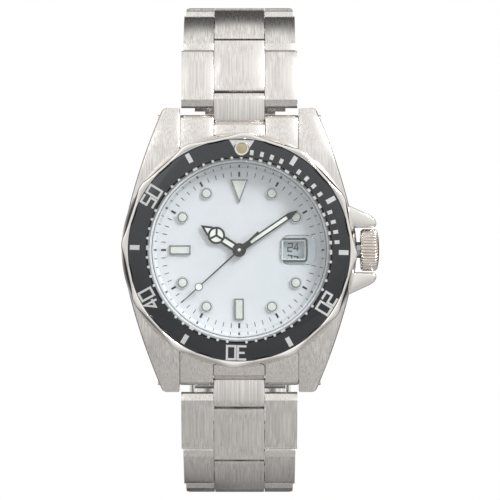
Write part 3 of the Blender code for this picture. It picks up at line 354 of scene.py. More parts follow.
# Steel turned on a lathe: rings round the axis.
TURNED = Finish("lathe_turned_steel", "#E2DFDB", "#BFBBB6", 1.0, (0.2, 0.34),
                (0.14, 0.3, 6.0), 0.003)
# Cold drawn spring steel.
SPRING = Finish("drawn_spring_steel", "#C9CCD0", "#A6A9AD", 1.0, (0.22, 0.36),
                (0.3, 0.3, 3.0), 0.002)
# Anodised aluminium insert with a glossy seal.
INSERT = Finish("anodised_aluminium_insert", "#23272F", "#15181D", 0.35, (0.12, 0.2),
                (0.8, 0.8, 0.8), 0.0006, 1.0)
# White pad print on the insert.
PRINT_WHITE = Finish("white_pad_print", "#F4F5F3", "#E4E6E4", 0.0, (0.4, 0.55),
                     (0.5, 0.5, 0.5), 0.002)
# Satin lacquer over a brass dial blank.
DIAL = Finish("satin_white_dial_lacquer", "#DFE0E4", "#D9DBDF", 0.0, (0.3, 0.4),
              (0.9, 0.9, 0.9), 0.001, 0.25)
# Pad-printed black ink.
PRINT_BLACK = Finish("black_pad_print", "#1B1C1E", "#0E0F10", 0.0, (0.35, 0.5),
                     (0.3, 0.3, 0.3), 0.001, specular=0.15)
# Stoved black lacquer on the hands.
HAND_BLACK = Finish("black_hand_lacquer", "#22231F", "#141512", 0.0, (0.2, 0.32),
                    (0.6, 0.6, 0.6), 0.0008, specular=0.2)
# Luminous paste in three shades: matte, slightly grainy.
LUME_WHITE = Finish("white_luminous_paste", "#F6F7F2", "#E9EAE2", 0.0, (0.6, 0.8),
                    (0.12, 0.12, 0.12), 0.006)
LUME_GREY = Finish("grey_luminous_paste", "#DFE2DC", "#CDD0C8", 0.0, (0.6, 0.8),
                   (0.12, 0.12, 0.12), 0.006)
LUME_CREAM = Finish("cream_luminous_pearl", "#D6CDA9", "#BFB48A", 0.0, (0.35, 0.5),
                    (0.3, 0.3, 0.3), 0.003, 0.3)
# Moulded white plastic date ring, coloured greyer than the dial: painted shade from the dial that
# covers it.
DATE_WHITE_IN_PAINTED_SHADE = Finish("date_ring_plastic_painted_shade", "#C9CDD1", "#BCC0C5", 0.0, (0.45, 0.6),
                    (0.4, 0.4, 0.4), 0.002)
# Brass plates lapped in one direction: fine lines with a warm shine.
BRASS = Finish("lapped_brass", "#D9BC7A", "#B8975A", 1.0, (0.22, 0.34), (0.2, 0.2, 2.0), 0.002)
# Lacquered copper wire, drawn twice as thick as real so that the turns show.
COPPER = Finish("enamelled_copper_wire", "#C8743F", "#8E4523", 1.0, (0.3, 0.4),
                (0.06, 0.06, 0.6), 0.006)
# Moulded rubber seal: matte black; the same material also paints the shade inside the lug
# drillings and the case back's key slots.
RUBBER_AND_HOLE_SHADE = Finish("nitrile_rubber_and_painted_hole_shade", "#2A2A2A", "#191919", 0.0, (0.7, 0.85), (0.3, 0.3, 0.3),
                0.004)
# Clear nylon ring between glass and insert, coloured pale grey: a painted reflection of the
# crystal's bevelled edge, which reads as a pale grey line.
GASKET_PAINTED_EDGE_GREY = Finish("nylon_crystal_gasket", "#A9ADB0", "#94989B", 0.0, (0.3, 0.4),
                     (0.4, 0.4, 0.4), 0.001)
# Injection moulded holder: off-white with a soft sheen.
ACETAL = Finish("moulded_acetal", "#CFCFCA", "#B9B9B3", 0.0, (0.4, 0.5), (0.5, 0.5, 0.5),
                0.002)
# Solder mask over the board's tracks: glossy green, a little uneven.
BOARD = Finish("green_solder_mask", "#1F5C38", "#143F26", 0.0, (0.25, 0.4), (0.5, 0.5, 0.5),
               0.003, 0.3)
# Pressed and sintered magnet: dark, granular, dull metal.
MAGNET = Finish("sintered_magnet", "#4A4A4C", "#2F2F31", 0.6, (0.4, 0.6), (0.15, 0.15, 0.15),
                0.004)
# Lapped and polished mineral glass; its anti-glare film weakens the reflection.
GLASS = ClearFinish("mineral_crystal", "#FBFDFD")
# The same glass ground as a lens, with a faintly cooler tint.
LENS = ClearFinish("date_lens_glass", "#F6FAFB")


# ---- modelling --------------------------------------------------------------------------

class Solid:
    """A piece being modelled in millimetres, with x, depth and z as its directions."""

    def __init__(self) -> None:
        """Start with nothing in the mesh."""
        self.bm = bmesh.new()
        self.marked = False
        self.second: Finish | None = None

    @classmethod
    def turned(cls, profile: list[Point], steps: int = 128) -> "Solid":
        """Spin a closed profile of radius and depth round the watch's axis.

        Args:
            profile: the corners in order.
            steps: how many sides the piece gets.

        Returns:
            The turned solid.
        """
        made = cls()
        corners = [made.bm.verts.new((radius, -depth, 0.0)) for radius, depth in profile]
        edges = []
        for index, corner in enumerate(corners):
            on_axis = profile[index - 1][0] <= 0.0 and profile[index][0] <= 0.0
            if not on_axis:
                edges.append(made.bm.edges.new((corners[index - 1], corner)))
        bmesh.ops.spin(made.bm, geom=corners + edges, cent=(0.0, 0.0, 0.0),
                       axis=(0.0, 1.0, 0.0), dvec=(0.0, 0.0, 0.0), angle=2.0 * pi,
                       steps=steps, use_merge=True, use_duplicate=False)
        made.clean()
        return made

    @classmethod
    def plate(cls, outline: list[Point], low: float, high: float) -> "Solid":
        """Raise a front outline of x and z between two depths.

        Args:
            outline: the corners in order.
            low: depth of the rear face.
            high: depth of the front face.

        Returns:
            The plate.
        """
        made = cls()
        corners = [made.bm.verts.new((x, -low, z)) for x, z in outline]
        made.raise_face(made.bm.faces.new(corners), (0.0, low - high, 0.0))
        return made

    @classmethod
    def bar(cls, outline: list[Point], left: float, right: float) -> "Solid":
        """Draw a side outline of z and depth out along x.

        Args:
            outline: the corners in order.
            left: x of the first face.
            right: x of the second face.

        Returns:
            The bar.
        """
        made = cls()
        corners = [made.bm.verts.new((left, -depth, z)) for z, depth in outline]
        made.raise_face(made.bm.faces.new(corners), (right - left, 0.0, 0.0))
        return made

    @classmethod
    def ribbon(cls, path: list[Point], width: float, low: float, high: float,
               closed: bool = False) -> "Solid":
        """A stroke of even width along a path, with mitred corners.

        Args:
            path: the stroke's middle line, as x and z.
            width: the stroke's width.
            low: depth of its rear face.
            high: depth of its front face.
            closed: whether the path returns to its start.

        Returns:
            The stroke as a raised plate.
        """
        made = cls()
        if path[0] == path[-1]:
            path, closed = path[:-1], True
        count = len(path)
        rows = []
        for index, (x, z) in enumerate(path):
            before = path[index - 1] if index or closed else None
            after = path[(index + 1) % count] if index < count - 1 or closed else None
            sides = []
            for start, stop in ((before, (x, z)), ((x, z), after)):
                if start and stop:
                    run = Vector((stop[0] - start[0], stop[1] - start[1])).normalized()
                    sides.append(Vector((-run.y, run.x)))
            normal = sum(sides, Vector((0.0, 0.0))).normalized()
            reach = width / 2.0 / max(0.35, normal.dot(sides[0]))
            rows.append([made.bm.verts.new((x + normal.x * reach * sign, -low,
                                            z + normal.y * reach * sign))
                         for sign in (1.0, -1.0)])
        faces = []
        for index in range(count if closed else count - 1):
            here, there = rows[index], rows[(index + 1) % count]
            faces.append(made.bm.faces.new((here[0], here[1], there[1], there[0])))
        made.raise_faces(faces, (0.0, low - high, 0.0))
        return made

    def raise_face(self, face: bmesh.types.BMFace, travel: Point3) -> None:
        """Extrude one face, keeping it as the base."""
        self.raise_faces([face], travel)

    def raise_faces(self, faces: list[bmesh.types.BMFace], travel: Point3) -> None:
        """Extrude a group of faces and close the solid.

        Args:
            faces: the faces, which stay as the base.
            travel: how far and which way they go.
        """
        result = bmesh.ops.extrude_face_region(self.bm, geom=faces, use_keep_orig=True)
        moved = [item for item in result["geom"] if isinstance(item, bmesh.types.BMVert)]
        bmesh.ops.translate(self.bm, verts=moved, vec=travel)
        self.clean()

    def clean(self) -> "Solid":
        """Merge doubles and point every face outwards."""
        bmesh.ops.remove_doubles(self.bm, verts=self.bm.verts, dist=0.0002)
        bmesh.ops.recalc_face_normals(self.bm, faces=self.bm.faces)
        return self

    def softened(self, width: float, segments: int = 2, angle: float = 30.0,
                 where: EdgeTest | None = None) -> "Solid":
        """Round the edges that turn by more than an angle.

        Args:
            width: how wide the rounding is.
            segments: how many strips it has.
            angle: the smallest turn, in degrees, that is rounded.
            where: an optional test on an edge.

        Returns:
            The same solid.
        """
        limit = radians(angle)
        edges = [edge for edge in self.bm.edges if len(edge.link_faces) == 2
                 and edge.calc_face_angle(0.0) > limit and (where is None or where(edge))]
        if edges:
            bmesh.ops.bevel(self.bm, geom=edges, offset=width, offset_type="OFFSET",
                            segments=segments, profile=0.5, affect="EDGES",
                            clamp_overlap=True, material=-1)
        return self

    def lay_along_x(self) -> "Solid":
        """Turn a piece made round the watch's axis so that it lies along x."""
        bmesh.ops.rotate(self.bm, verts=self.bm.verts, cent=(0.0, 0.0, 0.0),
                         matrix=Matrix.Rotation(pi / 2.0, 3, "Z"))
        return self

    def moved(self, x: float = 0.0, depth: float = 0.0, z: float = 0.0) -> "Solid":
        """Shift the piece."""
        bmesh.ops.translate(self.bm, verts=self.bm.verts, vec=(x, -depth, z))
        return self

    def turned_to(self, angle: float) -> "Solid":
        """Turn the piece clockwise on the dial by a clock angle."""
        bmesh.ops.rotate(self.bm, verts=self.bm.verts, cent=(0.0, 0.0, 0.0),
                         matrix=Matrix.Rotation(radians(angle), 3, "Y"))
        return self

    def leaned(self, angle: float) -> "Solid":
        """Lean the piece's top away from the viewer by an angle."""
        bmesh.ops.rotate(self.bm, verts=self.bm.verts, cent=(0.0, 0.0, 0.0),
                         matrix=Matrix.Rotation(radians(-angle), 3, "X"))
        return self

    def flipped(self) -> "Solid":
        """Mirror the piece from the 12 o'clock side to the 6 o'clock side."""
        bmesh.ops.scale(self.bm, verts=self.bm.verts, vec=(1.0, 1.0, -1.0))
        return self.clean()

    def joined(self, other: "Solid") -> "Solid":
        """Take another solid's mesh in as a separate body of the same piece.

        Args:
            other: the solid to take in; it is used up.

        Returns:
            The same solid.
        """
        spare = bpy.data.meshes.new("spare")
        other.bm.to_mesh(spare)
        self.bm.from_mesh(spare)
        bpy.data.meshes.remove(spare)
        other.bm.free()
        return self

    def also(self, finish: Finish, where: FaceTest) -> "Solid":
        """Give the faces that pass a test a second finish.

        Args:
            finish: the other finish.
            where: a test on a face.

        Returns:
            The same solid.
        """
        self.second = finish
        for face in self.bm.faces:
            if where(face):
                face.material_index = 1
        return self

    def mark_grain(self, grain: Grain = Grain.LENGTH) -> "Solid":
        """Store where each point lies on the blank, for the surface pattern to follow.

        Args:
            grain: which way the surface was worked.

        Returns:
            The same solid.
        """
        layers = self.bm.verts.layers.float_vector
        layer = layers.get("grain") or layers.new("grain")
        for vert in self.bm.verts:
            x, y, z = vert.co * MM
            if grain is Grain.ROUND:
                vert[layer] = (hypot(x, z), y, atan2(x, z) * 0.012)
            elif grain is Grain.ACROSS:
                vert[layer] = (z, y, x)
            else:
                vert[layer] = (x, y, z)
        self.marked = True
        return self

    def piece(self, name: str, finish: Finish | ClearFinish, body: str,
              replaces: tuple[str, ...] = (), grain: Grain = Grain.LENGTH,
              smooth: float = 32.0) -> bpy.types.Object:
        """Finish the solid as an object that rides on a body.

        Args:
            name: the object's name.
            finish: its material.
            body: the body that it moves with.
            replaces: frame nodes that it stands for.
            grain: which way its surface was worked, if not marked yet.
            smooth: edges that turn by less than this are shaded smooth.

        Returns:
            The object.
        """
        if not self.marked:
            self.mark_grain(grain)
        bmesh.ops.scale(self.bm, verts=self.bm.verts, vec=(MM, MM, MM))
        mesh = bpy.data.meshes.new(name)
        self.bm.to_mesh(mesh)
        self.bm.free()
        mesh.shade_smooth()
        mesh.set_sharp_from_angle(angle=radians(smooth))
        made = bpy.data.objects.new(name, mesh)
        mesh.materials.append(finish.material())
        if self.second:
            mesh.materials.append(self.second.material())
        bpy.context.scene.collection.objects.link(made)
        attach(made, body)
        if replaces:
            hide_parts(*replaces)
        LOG.info("%s: %d faces on %s", name, len(mesh.polygons), body)
        return made


def gathered(solids: list[Solid]) -> Solid:
    """Join many small solids into one piece.

    Args:
        solids: the solids; the first one takes in the rest.

    Returns:
        The joined solid.
    """
    first = solids[0]
    for other in solids[1:]:
        first.second = first.second or other.second
        first.joined(other)
    return first


def reach_of(joint: str) -> Point:
    """Reach from the dial's centre and depth of a hinge that lies across the bracelet.

    Args:
        joint: the joint's name in the record.

    Returns:
        The reach and the depth.
    """
    for entry in frame["record"]["behaviour"]["joints"]:
        if entry["name"] == joint:
            return (abs(entry["pos_m"][2]) / MM, -entry["pos_m"][1] / MM)
    raise KeyError(joint)


def span(node: str) -> tuple[Point, Point, Point]:
    """Lowest and highest x, depth and z of a frame node, in millimetres."""
    low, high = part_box(node)
    return ((low[0] / MM, high[0] / MM), (-high[1] / MM, -low[1] / MM),
            (low[2] / MM, high[2] / MM))


# ---- bezel ------------------------------------------------------------------------------

@dataclass
class Bezel:
    """Rotating bezel: scalloped ring, black insert with its scale, and the pearl.

    Attributes:
        turn: how far the scale stands from 12 o'clock, in degrees.
        scallops: number of finger cuts round the ring.
        cut: how deep a finger cut goes at the upper edge.
        first_cut: clock angle of a cut's middle.
        cut_half_width: half a cut's width, in degrees.
        scale_inner: where the marks begin.
        short_end: outer end of a minute mark.
        long_end: outer end of a five-minute mark.
        print_height: thickness of the print.
        bore: the ring's inner radius.
        triangle: half width, outer end and tip of the triangle at 12.
        dot: reach beyond the marks' inner end, and radius, of a dot.
        digit: width, height and gap of the numerals.
        digit_foot: where a numeral's foot stands.
        stroke: width of a numeral's line.
        slope: how far the insert's outer edge lies below its inner edge.
        outer: the ring's radius, read from the frame, as are the next three.
        bottom: depth of the ring's foot.
        top: depth of the ring's upper face.
        insert: the insert's radius and the depth of its upper face.
    """

    turn: float = 1.4
    scallops: int = 12
    cut: float = 0.8
    first_cut: float = 18.0
    cut_half_width: float = 13.2
    scale_inner: float = 15.0
    short_end: float = 16.7
    long_end: float = 18.15
    print_height: float = 0.03
    bore: float = 16.4
    triangle: Point3 = (2.15, 18.3, 14.95)
    dot: Point = (0.3, 0.24)
    digit: Point3 = (1.4, 2.2, 0.42)
    digit_foot: float = 15.95
    stroke: float = 0.36
    slope: float = 0.42
    outer: float = field(init=False)
    bottom: float = field(init=False)
    top: float = field(init=False)
    insert: tuple[float, float] = field(init=False)

    def __post_init__(self) -> None:
        """Read the ring's and the insert's sizes from the frame."""
        across, depths, _ = span("bezel_ring")
        self.outer = across[1]
        self.bottom, self.top = depths
        across, depths, _ = span("bezel_insert")
        self.insert = (across[1], depths[1])

    def build(self) -> None:
        """Model the ring, the insert, its print and the pearl."""
        self.ring()
        self.insert_ring()
        self.print_scale()
        self.pearl()

    def ring(self) -> None:
        """Steel ring with a finger cut at every five minutes or so, buffed all over."""
        rim, outer, top = self.insert[0] + 0.04, self.outer, self.top
        inner = self.bore
        profile = [(inner, self.bottom), (outer - 0.35, self.bottom),
                   (outer - 0.06, self.bottom + 0.18), (outer, self.bottom + 0.5),
                   (outer, top - 0.7), (outer - 0.03, top - 0.4), (outer - 0.12, top - 0.16),
                   (outer - 0.24, top - 0.04), (outer - 0.38, top), (rim + 0.12, top),
                   (rim, top - 0.08), (rim, top - 0.7), (inner, top - 0.7)]
        solid = Solid.turned(profile, 360)
        for vert in solid.bm.verts:
            radius = hypot(vert.co.x, vert.co.z)
            if radius < rim + 0.3:
                continue
            angle = degrees(atan2(vert.co.x, vert.co.z))
            pitch = 360.0 / self.scallops
            off = (angle - self.first_cut + pitch / 2.0) % pitch - pitch / 2.0
            share = max(0.0, 1.0 - (off / self.cut_half_width) ** 2)
            height = (-vert.co.y - self.bottom) / (top - self.bottom)
            inward = self.cut * share * min(1.0, max(0.0, (height - 0.2) / 0.7))
            weight = min(1.0, (radius - rim) / (outer - rim) * 1.6)
            scale = (radius - inward * weight) / radius
            vert.co.x *= scale
            vert.co.z *= scale
        solid.piece("bezel_ring_polished", BEZEL_STEEL, "bezel", ("bezel_ring",), Grain.ROUND,
                    smooth=40.0)

    def insert_ring(self) -> None:
        """Insert that slopes down towards the crystal."""
        outer, top = self.insert
        inner = span("crystal_gasket")[0][1] + 0.08
        profile = [(inner, top - 0.5), (outer, top - 0.5), (outer, top - self.slope - 0.03),
                   (outer - 0.05, top - self.slope), (inner + 0.2, top), (inner, top - 0.15)]
        Solid.turned(profile, 256).piece("bezel_insert_anodised", INSERT, "bezel",
                                         ("bezel_insert",), Grain.ROUND, smooth=24.0)

    def print_scale(self) -> None:
        """Triangle, minute marks, numerals and dots of the diving scale."""
        top = self.insert[1]
        low, high = top - 0.05, top + self.print_height
        half, outer, tip = self.triangle
        marks = [Solid.plate([(-half, outer), (half, outer), (0.0, tip)], low, high)]
        dots = []
        for minute in range(1, 60):
            angle = minute * 6.0
            if minute % 5 == 0:
                if minute % 10 or minute < 20:
                    marks.append(self.mark(angle, self.long_end, 0.78, low, high))
            elif minute < 15:
                marks.append(self.mark(angle, self.short_end, 0.6, low, high))
            if minute > 15 and minute % 10:
                dots.append(angle)
        for angle in dots:
            x, z = clock(angle, self.scale_inner + self.dot[0])
            if round(angle / 6.0) % 5:
                marks.append(Solid.plate(circle((x, z), self.dot[1], 14), low, high))
        for minute in (20, 30, 40, 50):
            for line in numeral(str(minute), *self.digit):
                moved = [(x, z + self.digit_foot) for x, z in line]
                ink = Solid.ribbon(moved, self.stroke, low, high)
                marks.append(ink.turned_to(minute * 6.0))
        scale = gathered(marks).turned_to(self.turn)
        inner = span("crystal_gasket")[0][1] + 0.28
        for vert in scale.bm.verts:
            share = (hypot(vert.co.x, vert.co.z) - inner) / (self.insert[0] - inner)
            vert.co.y += self.slope * max(0.0, share)
        scale.piece("bezel_scale_print", PRINT_WHITE, "bezel")

    def mark(self, angle: float, end: float, width: float, low: float, high: float) -> Solid:
        """One radial bar of the scale.

        Args:
            angle: its clock angle.
            end: radius of its outer end.
            width: how wide it is.
            low: depth of its rear face.
            high: depth of its front face.

        Returns:
            The bar.
        """
        half = width / 2.0
        corners = [clock(angle, self.scale_inner, -half), clock(angle, end, -half),
                   clock(angle, end, half), clock(angle, self.scale_inner, half)]
        return Solid.plate(corners, low, high)

    def pearl(self) -> None:
        """Luminous pearl in a steel cup at the triangle."""
        _, depths, reaches = span("bezel_pearl")
        reach, top = (reaches[0] + reaches[1]) / 2.0, depths[1]
        radius = (reaches[1] - reaches[0]) / 2.0 + 0.02
        low = self.insert[1] - 0.1
        cup = Solid.turned([(radius * 0.72, low), (radius, low), (radius, top - 0.12),
                            (radius - 0.1, top), (radius * 0.74, top - 0.02),
                            (radius * 0.72, top - 0.1)], 48)
        cup.moved(z=reach).turned_to(self.turn)
        cup.piece("pearl_cup", POLISHED, "bezel", ("bezel_pearl",))
        fill = radius * 0.72 + 0.01
        dome = Solid.turned([(0.0, low), (fill, low), (fill, top - 0.14), (fill * 0.8, top - 0.07),
                             (fill * 0.45, top - 0.02), (0.0, top)], 40)
        dome.moved(z=reach).turned_to(self.turn).piece("pearl_lume", LUME_CREAM, "bezel")


def numeral(text: str, width: float, height: float, gap: float) -> list[list[Point]]:
    """Angular strokes of a number, centred on x with its foot at zero.

    Args:
        text: the digits.
        width: of one digit.
        height: of one digit.
        gap: between digits.

    Returns:
        The middle lines of the strokes.
    """
    middle = height * 0.5
    strokes = {
        "0": [[(0.0, 0.0), (width, 0.0), (width, height), (0.0, height), (0.0, 0.0)]],
        "1": [[(width * 0.2, height * 0.78), (width * 0.55, height), (width * 0.55, 0.0)]],
        "2": [[(0.0, height), (width, height), (width, middle), (0.0, middle), (0.0, 0.0),
               (width, 0.0)]],
        "3": [[(0.0, height), (width, height), (width, 0.0), (0.0, 0.0)],
              [(width * 0.2, middle), (width * 0.9, middle)]],
        "4": [[(width * 0.72, 0.0), (width * 0.72, height), (0.0, height * 0.32),
               (width, height * 0.32)]],
        "5": [[(width, height), (0.0, height), (0.0, middle), (width, middle), (width, 0.0),
               (0.0, 0.0)]],
        "6": [[(width, height), (0.0, height), (0.0, 0.0), (width, 0.0), (width, middle),
               (0.1 * width, middle)]],
        "7": [[(0.0, height), (width, height), (width * 0.35, 0.0)]],
        "8": [[(0.0, 0.0), (width, 0.0), (width, height), (0.0, height), (0.0, 0.0)],
              [(width * 0.1, middle), (width * 0.9, middle)]],
        "9": [[(0.9 * width, middle), (0.0, middle), (0.0, height), (width, height),
               (width, 0.0), (0.0, 0.0)]],
    }
    total = len(text) * width + (len(text) - 1) * gap
    lines = []
    for index, digit in enumerate(text):
        start = index * (width + gap) - total / 2.0
        for path in strokes[digit]:
            lines.append([(x + start, z) for x, z in path])
    return lines


# ---- dial, hands and crystal ------------------------------------------------------------

@dataclass
class Dial:
    """White dial with applied markers, date window, date ring and chapter ring.

    Attributes:
        cup_reach: centre to a round marker.
        cup_radius: of a round marker.
        rim: thickness of a marker's steel frame.
        tick_inner: inner end of a minute tick.
        tick_outer: outer end of a minute tick.
        ink: height of the print.
        heavy: half width of an hour's tick.
        light: half width of another tick.
        date_face: inner and outer radius of the date ring's printed face.
        date_digit: width, height and gap of the date's figures.
        date_line: width of a figure's line.
        date_turn: clock angle at which the date shown stands.
        date_shown: the date in the window.
        top: depth of the dial's face, read from the frame, as is the next.
        marker_top: depth of the markers' upper faces.
    """

    cup_reach: float = 10.9
    cup_radius: float = 1.03
    rim: float = 0.38
    tick_inner: float = 12.3
    tick_outer: float = 13.05
    ink: float = 0.03
    heavy: float = 0.17
    light: float = 0.06
    date_face: Point = (7.45, 10.9)
    date_digit: Point3 = (0.68, 1.14, 0.24)
    date_line: float = 0.21
    date_turn: float = 87.6
    date_shown: int = 24
    top: float = field(init=False)
    marker_top: float = field(init=False)

    def __post_init__(self) -> None:
        """Read the dial's levels from the frame."""
        self.marker_top = span("dial")[1][1]
        self.top = span("marker_12")[1][0] - 0.05

    def build(self) -> None:
        """Model everything that is fixed to the dial."""
        self.minute_track()
        self.cups()
        self.frames()
        self.date()
        self.chapter_ring()

    def minute_track(self) -> None:
        """Sixty printed ticks, heavier at the hours."""
        low, high = self.top - 0.02, self.top + self.ink
        ticks = []
        for minute in range(60):
            if minute in (14, 15, 16):
                continue
            half = self.heavy if minute % 5 == 0 else self.light
            inner = self.tick_inner - (0.1 if minute % 5 == 0 else 0.0)
            corners = [clock(minute * 6.0, inner, -half),
                       clock(minute * 6.0, self.tick_outer, -half),
                       clock(minute * 6.0, self.tick_outer, half),
                       clock(minute * 6.0, inner, half)]
            ticks.append(Solid.plate(corners, low, high))
        gathered(ticks).piece("minute_track_print", PRINT_BLACK, "case")

    def cups(self) -> None:
        """Polished cups with luminous paste at eight hours."""
        low, high = self.top - 0.02, self.marker_top + 0.02
        rims, fills = [], []
        for hour in (1, 2, 4, 5, 7, 8, 10, 11):
            x, z = clock(hour * 30.0, self.cup_reach)
            outer, inner = self.cup_radius, self.cup_radius - self.rim
            rims.append(Solid.turned([(inner, low), (outer, low), (outer, high - 0.3),
                                      (outer - 0.06, high - 0.2), (outer - 0.2, high + 0.04),
                                      (outer - 0.26, high + 0.06), (inner + 0.03, high - 0.01),
                                      (inner, high - 0.06)], 48).moved(x=x, z=z))
            fills.append(Solid.turned([(0.0, low), (inner + 0.01, low),
                                       (inner + 0.01, high - 0.01), (inner * 0.6, high + 0.02),
                                       (0.0, high + 0.03)], 32).moved(x=x, z=z))
        gathered(rims).piece("marker_cups", MARKER_STEEL, "case")
        gathered(fills).piece("marker_cup_lume", LUME_GREY, "case")

    def frames(self) -> None:
        """Framed triangle and bars: a steel frame round a luminous field."""
        low, high = self.top + 0.03, self.marker_top + 0.02
        (left, right), _, (foot, head) = span("marker_12")
        middle = (left + right) / 2.0
        triangle = [(left, head), (right, head), (middle, foot)]
        self.framed("marker_12", triangle, 0.17, low, high, "marker_12")
        for name in ("marker_6", "marker_9"):
            (left, right), _, (foot, head) = span(name)
            corners = [(left, foot), (right, foot), (right, head), (left, head)]
            self.framed(name, corners, 0.2, low, high, name)

    def framed(self, name: str, outline: list[Point], rim: float, low: float, high: float,
               node: str) -> None:
        """A block whose top is inset into a frame with a field of paste.

        Args:
            name: start of the piece's name.
            outline: its corners in order.
            rim: the frame's width.
            low: depth of its rear face.
            high: depth of its front face.
            node: the frame node that it stands for.
        """
        block = Solid.plate(outline, low, high)
        tops = [face for face in block.bm.faces if face.normal.y < -0.9]
        bmesh.ops.inset_region(block.bm, faces=tops, thickness=rim, depth=0.0,
                               use_even_offset=True)
        bmesh.ops.inset_region(block.bm, faces=tops, thickness=0.03, depth=-0.05,
                               use_even_offset=True)
        block.bm.normal_update()
        centre = set(tops)
        block.also(LUME_GREY, lambda face: face in centre)
        block.piece(name + "_applied", MARKER_STEEL, "case", (node,))

    def date(self) -> None:
        """Black window frame with a white bevel, and the date ring's numbers."""
        (left, right), (low, high), (foot, head) = span("date_frame")
        middle = (left + right) / 2.0
        width, height = right - left, head - foot
        outer = rounded(middle, 0.0, width, height, 0.45)
        inset = rounded(middle, 0.0, width - 0.3, height - 0.3, 0.3)
        Solid.ribbon(inset + [inset[0]], 0.28, low, high + 0.01).piece(
            "date_frame_black", PRINT_BLACK, "case", ("date_frame",))
        reveal = rounded(middle, 0.0, width - 0.78, height - 0.78, 0.15)
        Solid.ribbon(reveal + [reveal[0]], 0.22, low - 0.35, high - 0.12).piece(
            "date_window_bevel", LUME_WHITE, "case")
        ring_top = span("date_ring")[1][1]
        bore, rim = self.date_face
        # The ring's face takes a greyer white than the dial: painted shade under the dial.
        face = Solid.turned([(bore, ring_top - 0.2), (rim, ring_top - 0.2),
                             (rim, ring_top - 0.03), (bore, ring_top - 0.03)], 128)
        face.piece("date_ring_face", DATE_WHITE_IN_PAINTED_SHADE, "date_ring")
        numbers = []
        for day in range(1, 32):
            turn = self.date_turn + (self.date_shown - day) * 360.0 / 31.0
            for stroke in numeral(str(day), *self.date_digit):
                moved = [(x + middle - 0.05, z - 0.56) for x, z in stroke]
                ink = Solid.ribbon(moved, self.date_line, ring_top - 0.02, ring_top + self.ink)
                numbers.append(ink.turned_to(turn - 90.0))
        gathered(numbers).piece("date_numbers_print", PRINT_BLACK, "date_ring")

    def chapter_ring(self) -> None:
        """Sloping inner ring with a tick at every minute."""
        (_, outer), (low, high), _ = span("chapter_ring")
        inner, lip = outer - 0.7, outer - 0.28
        Solid.turned([(inner, low), (outer, low), (outer, high), (lip, high)], 192).piece(
            "chapter_ring_lacquered", DIAL, "case", ("chapter_ring",), Grain.ROUND)
        ticks = []
        for minute in range(60):
            half = 0.16 if minute % 5 == 0 else 0.07
            corners = [(-half, low + 0.1), (half, low + 0.1), (half, high - 0.12),
                       (-half, high - 0.12)]
            tick = Solid()
            front, back = [], []
            for x, depth in corners:
                share = (depth - low) / (high - low)
                radius = inner + (lip - inner) * share
                front.append(tick.bm.verts.new((x, -depth, radius - 0.02)))
            tick.raise_face(tick.bm.faces.new(front), (0.0, 0.0, 0.06))
            ticks.append(tick.turned_to(minute * 6.0))
        gathered(ticks).piece("chapter_ticks_print", PRINT_BLACK, "case")


def rounded(x: float, z: float, width: float, height: float, radius: float) -> list[Point]:
    """A rounded rectangle, counter-clockwise from its upper right corner.

    Args:
        x: the rectangle's middle, towards the crown.
        z: the rectangle's middle, towards 12 o'clock.
        width: its size along x.
        height: its size along z.
        radius: of its corners.

    Returns:
        The points in order.
    """
    points = []
    for quarter, (sx, sz) in enumerate(((1, 1), (-1, 1), (-1, -1), (1, -1))):
        centre = (x + sx * (width / 2.0 - radius), z + sz * (height / 2.0 - radius))
        points += arc(centre, radius, quarter * 90.0, quarter * 90.0 + 90.0, 4)
    return points


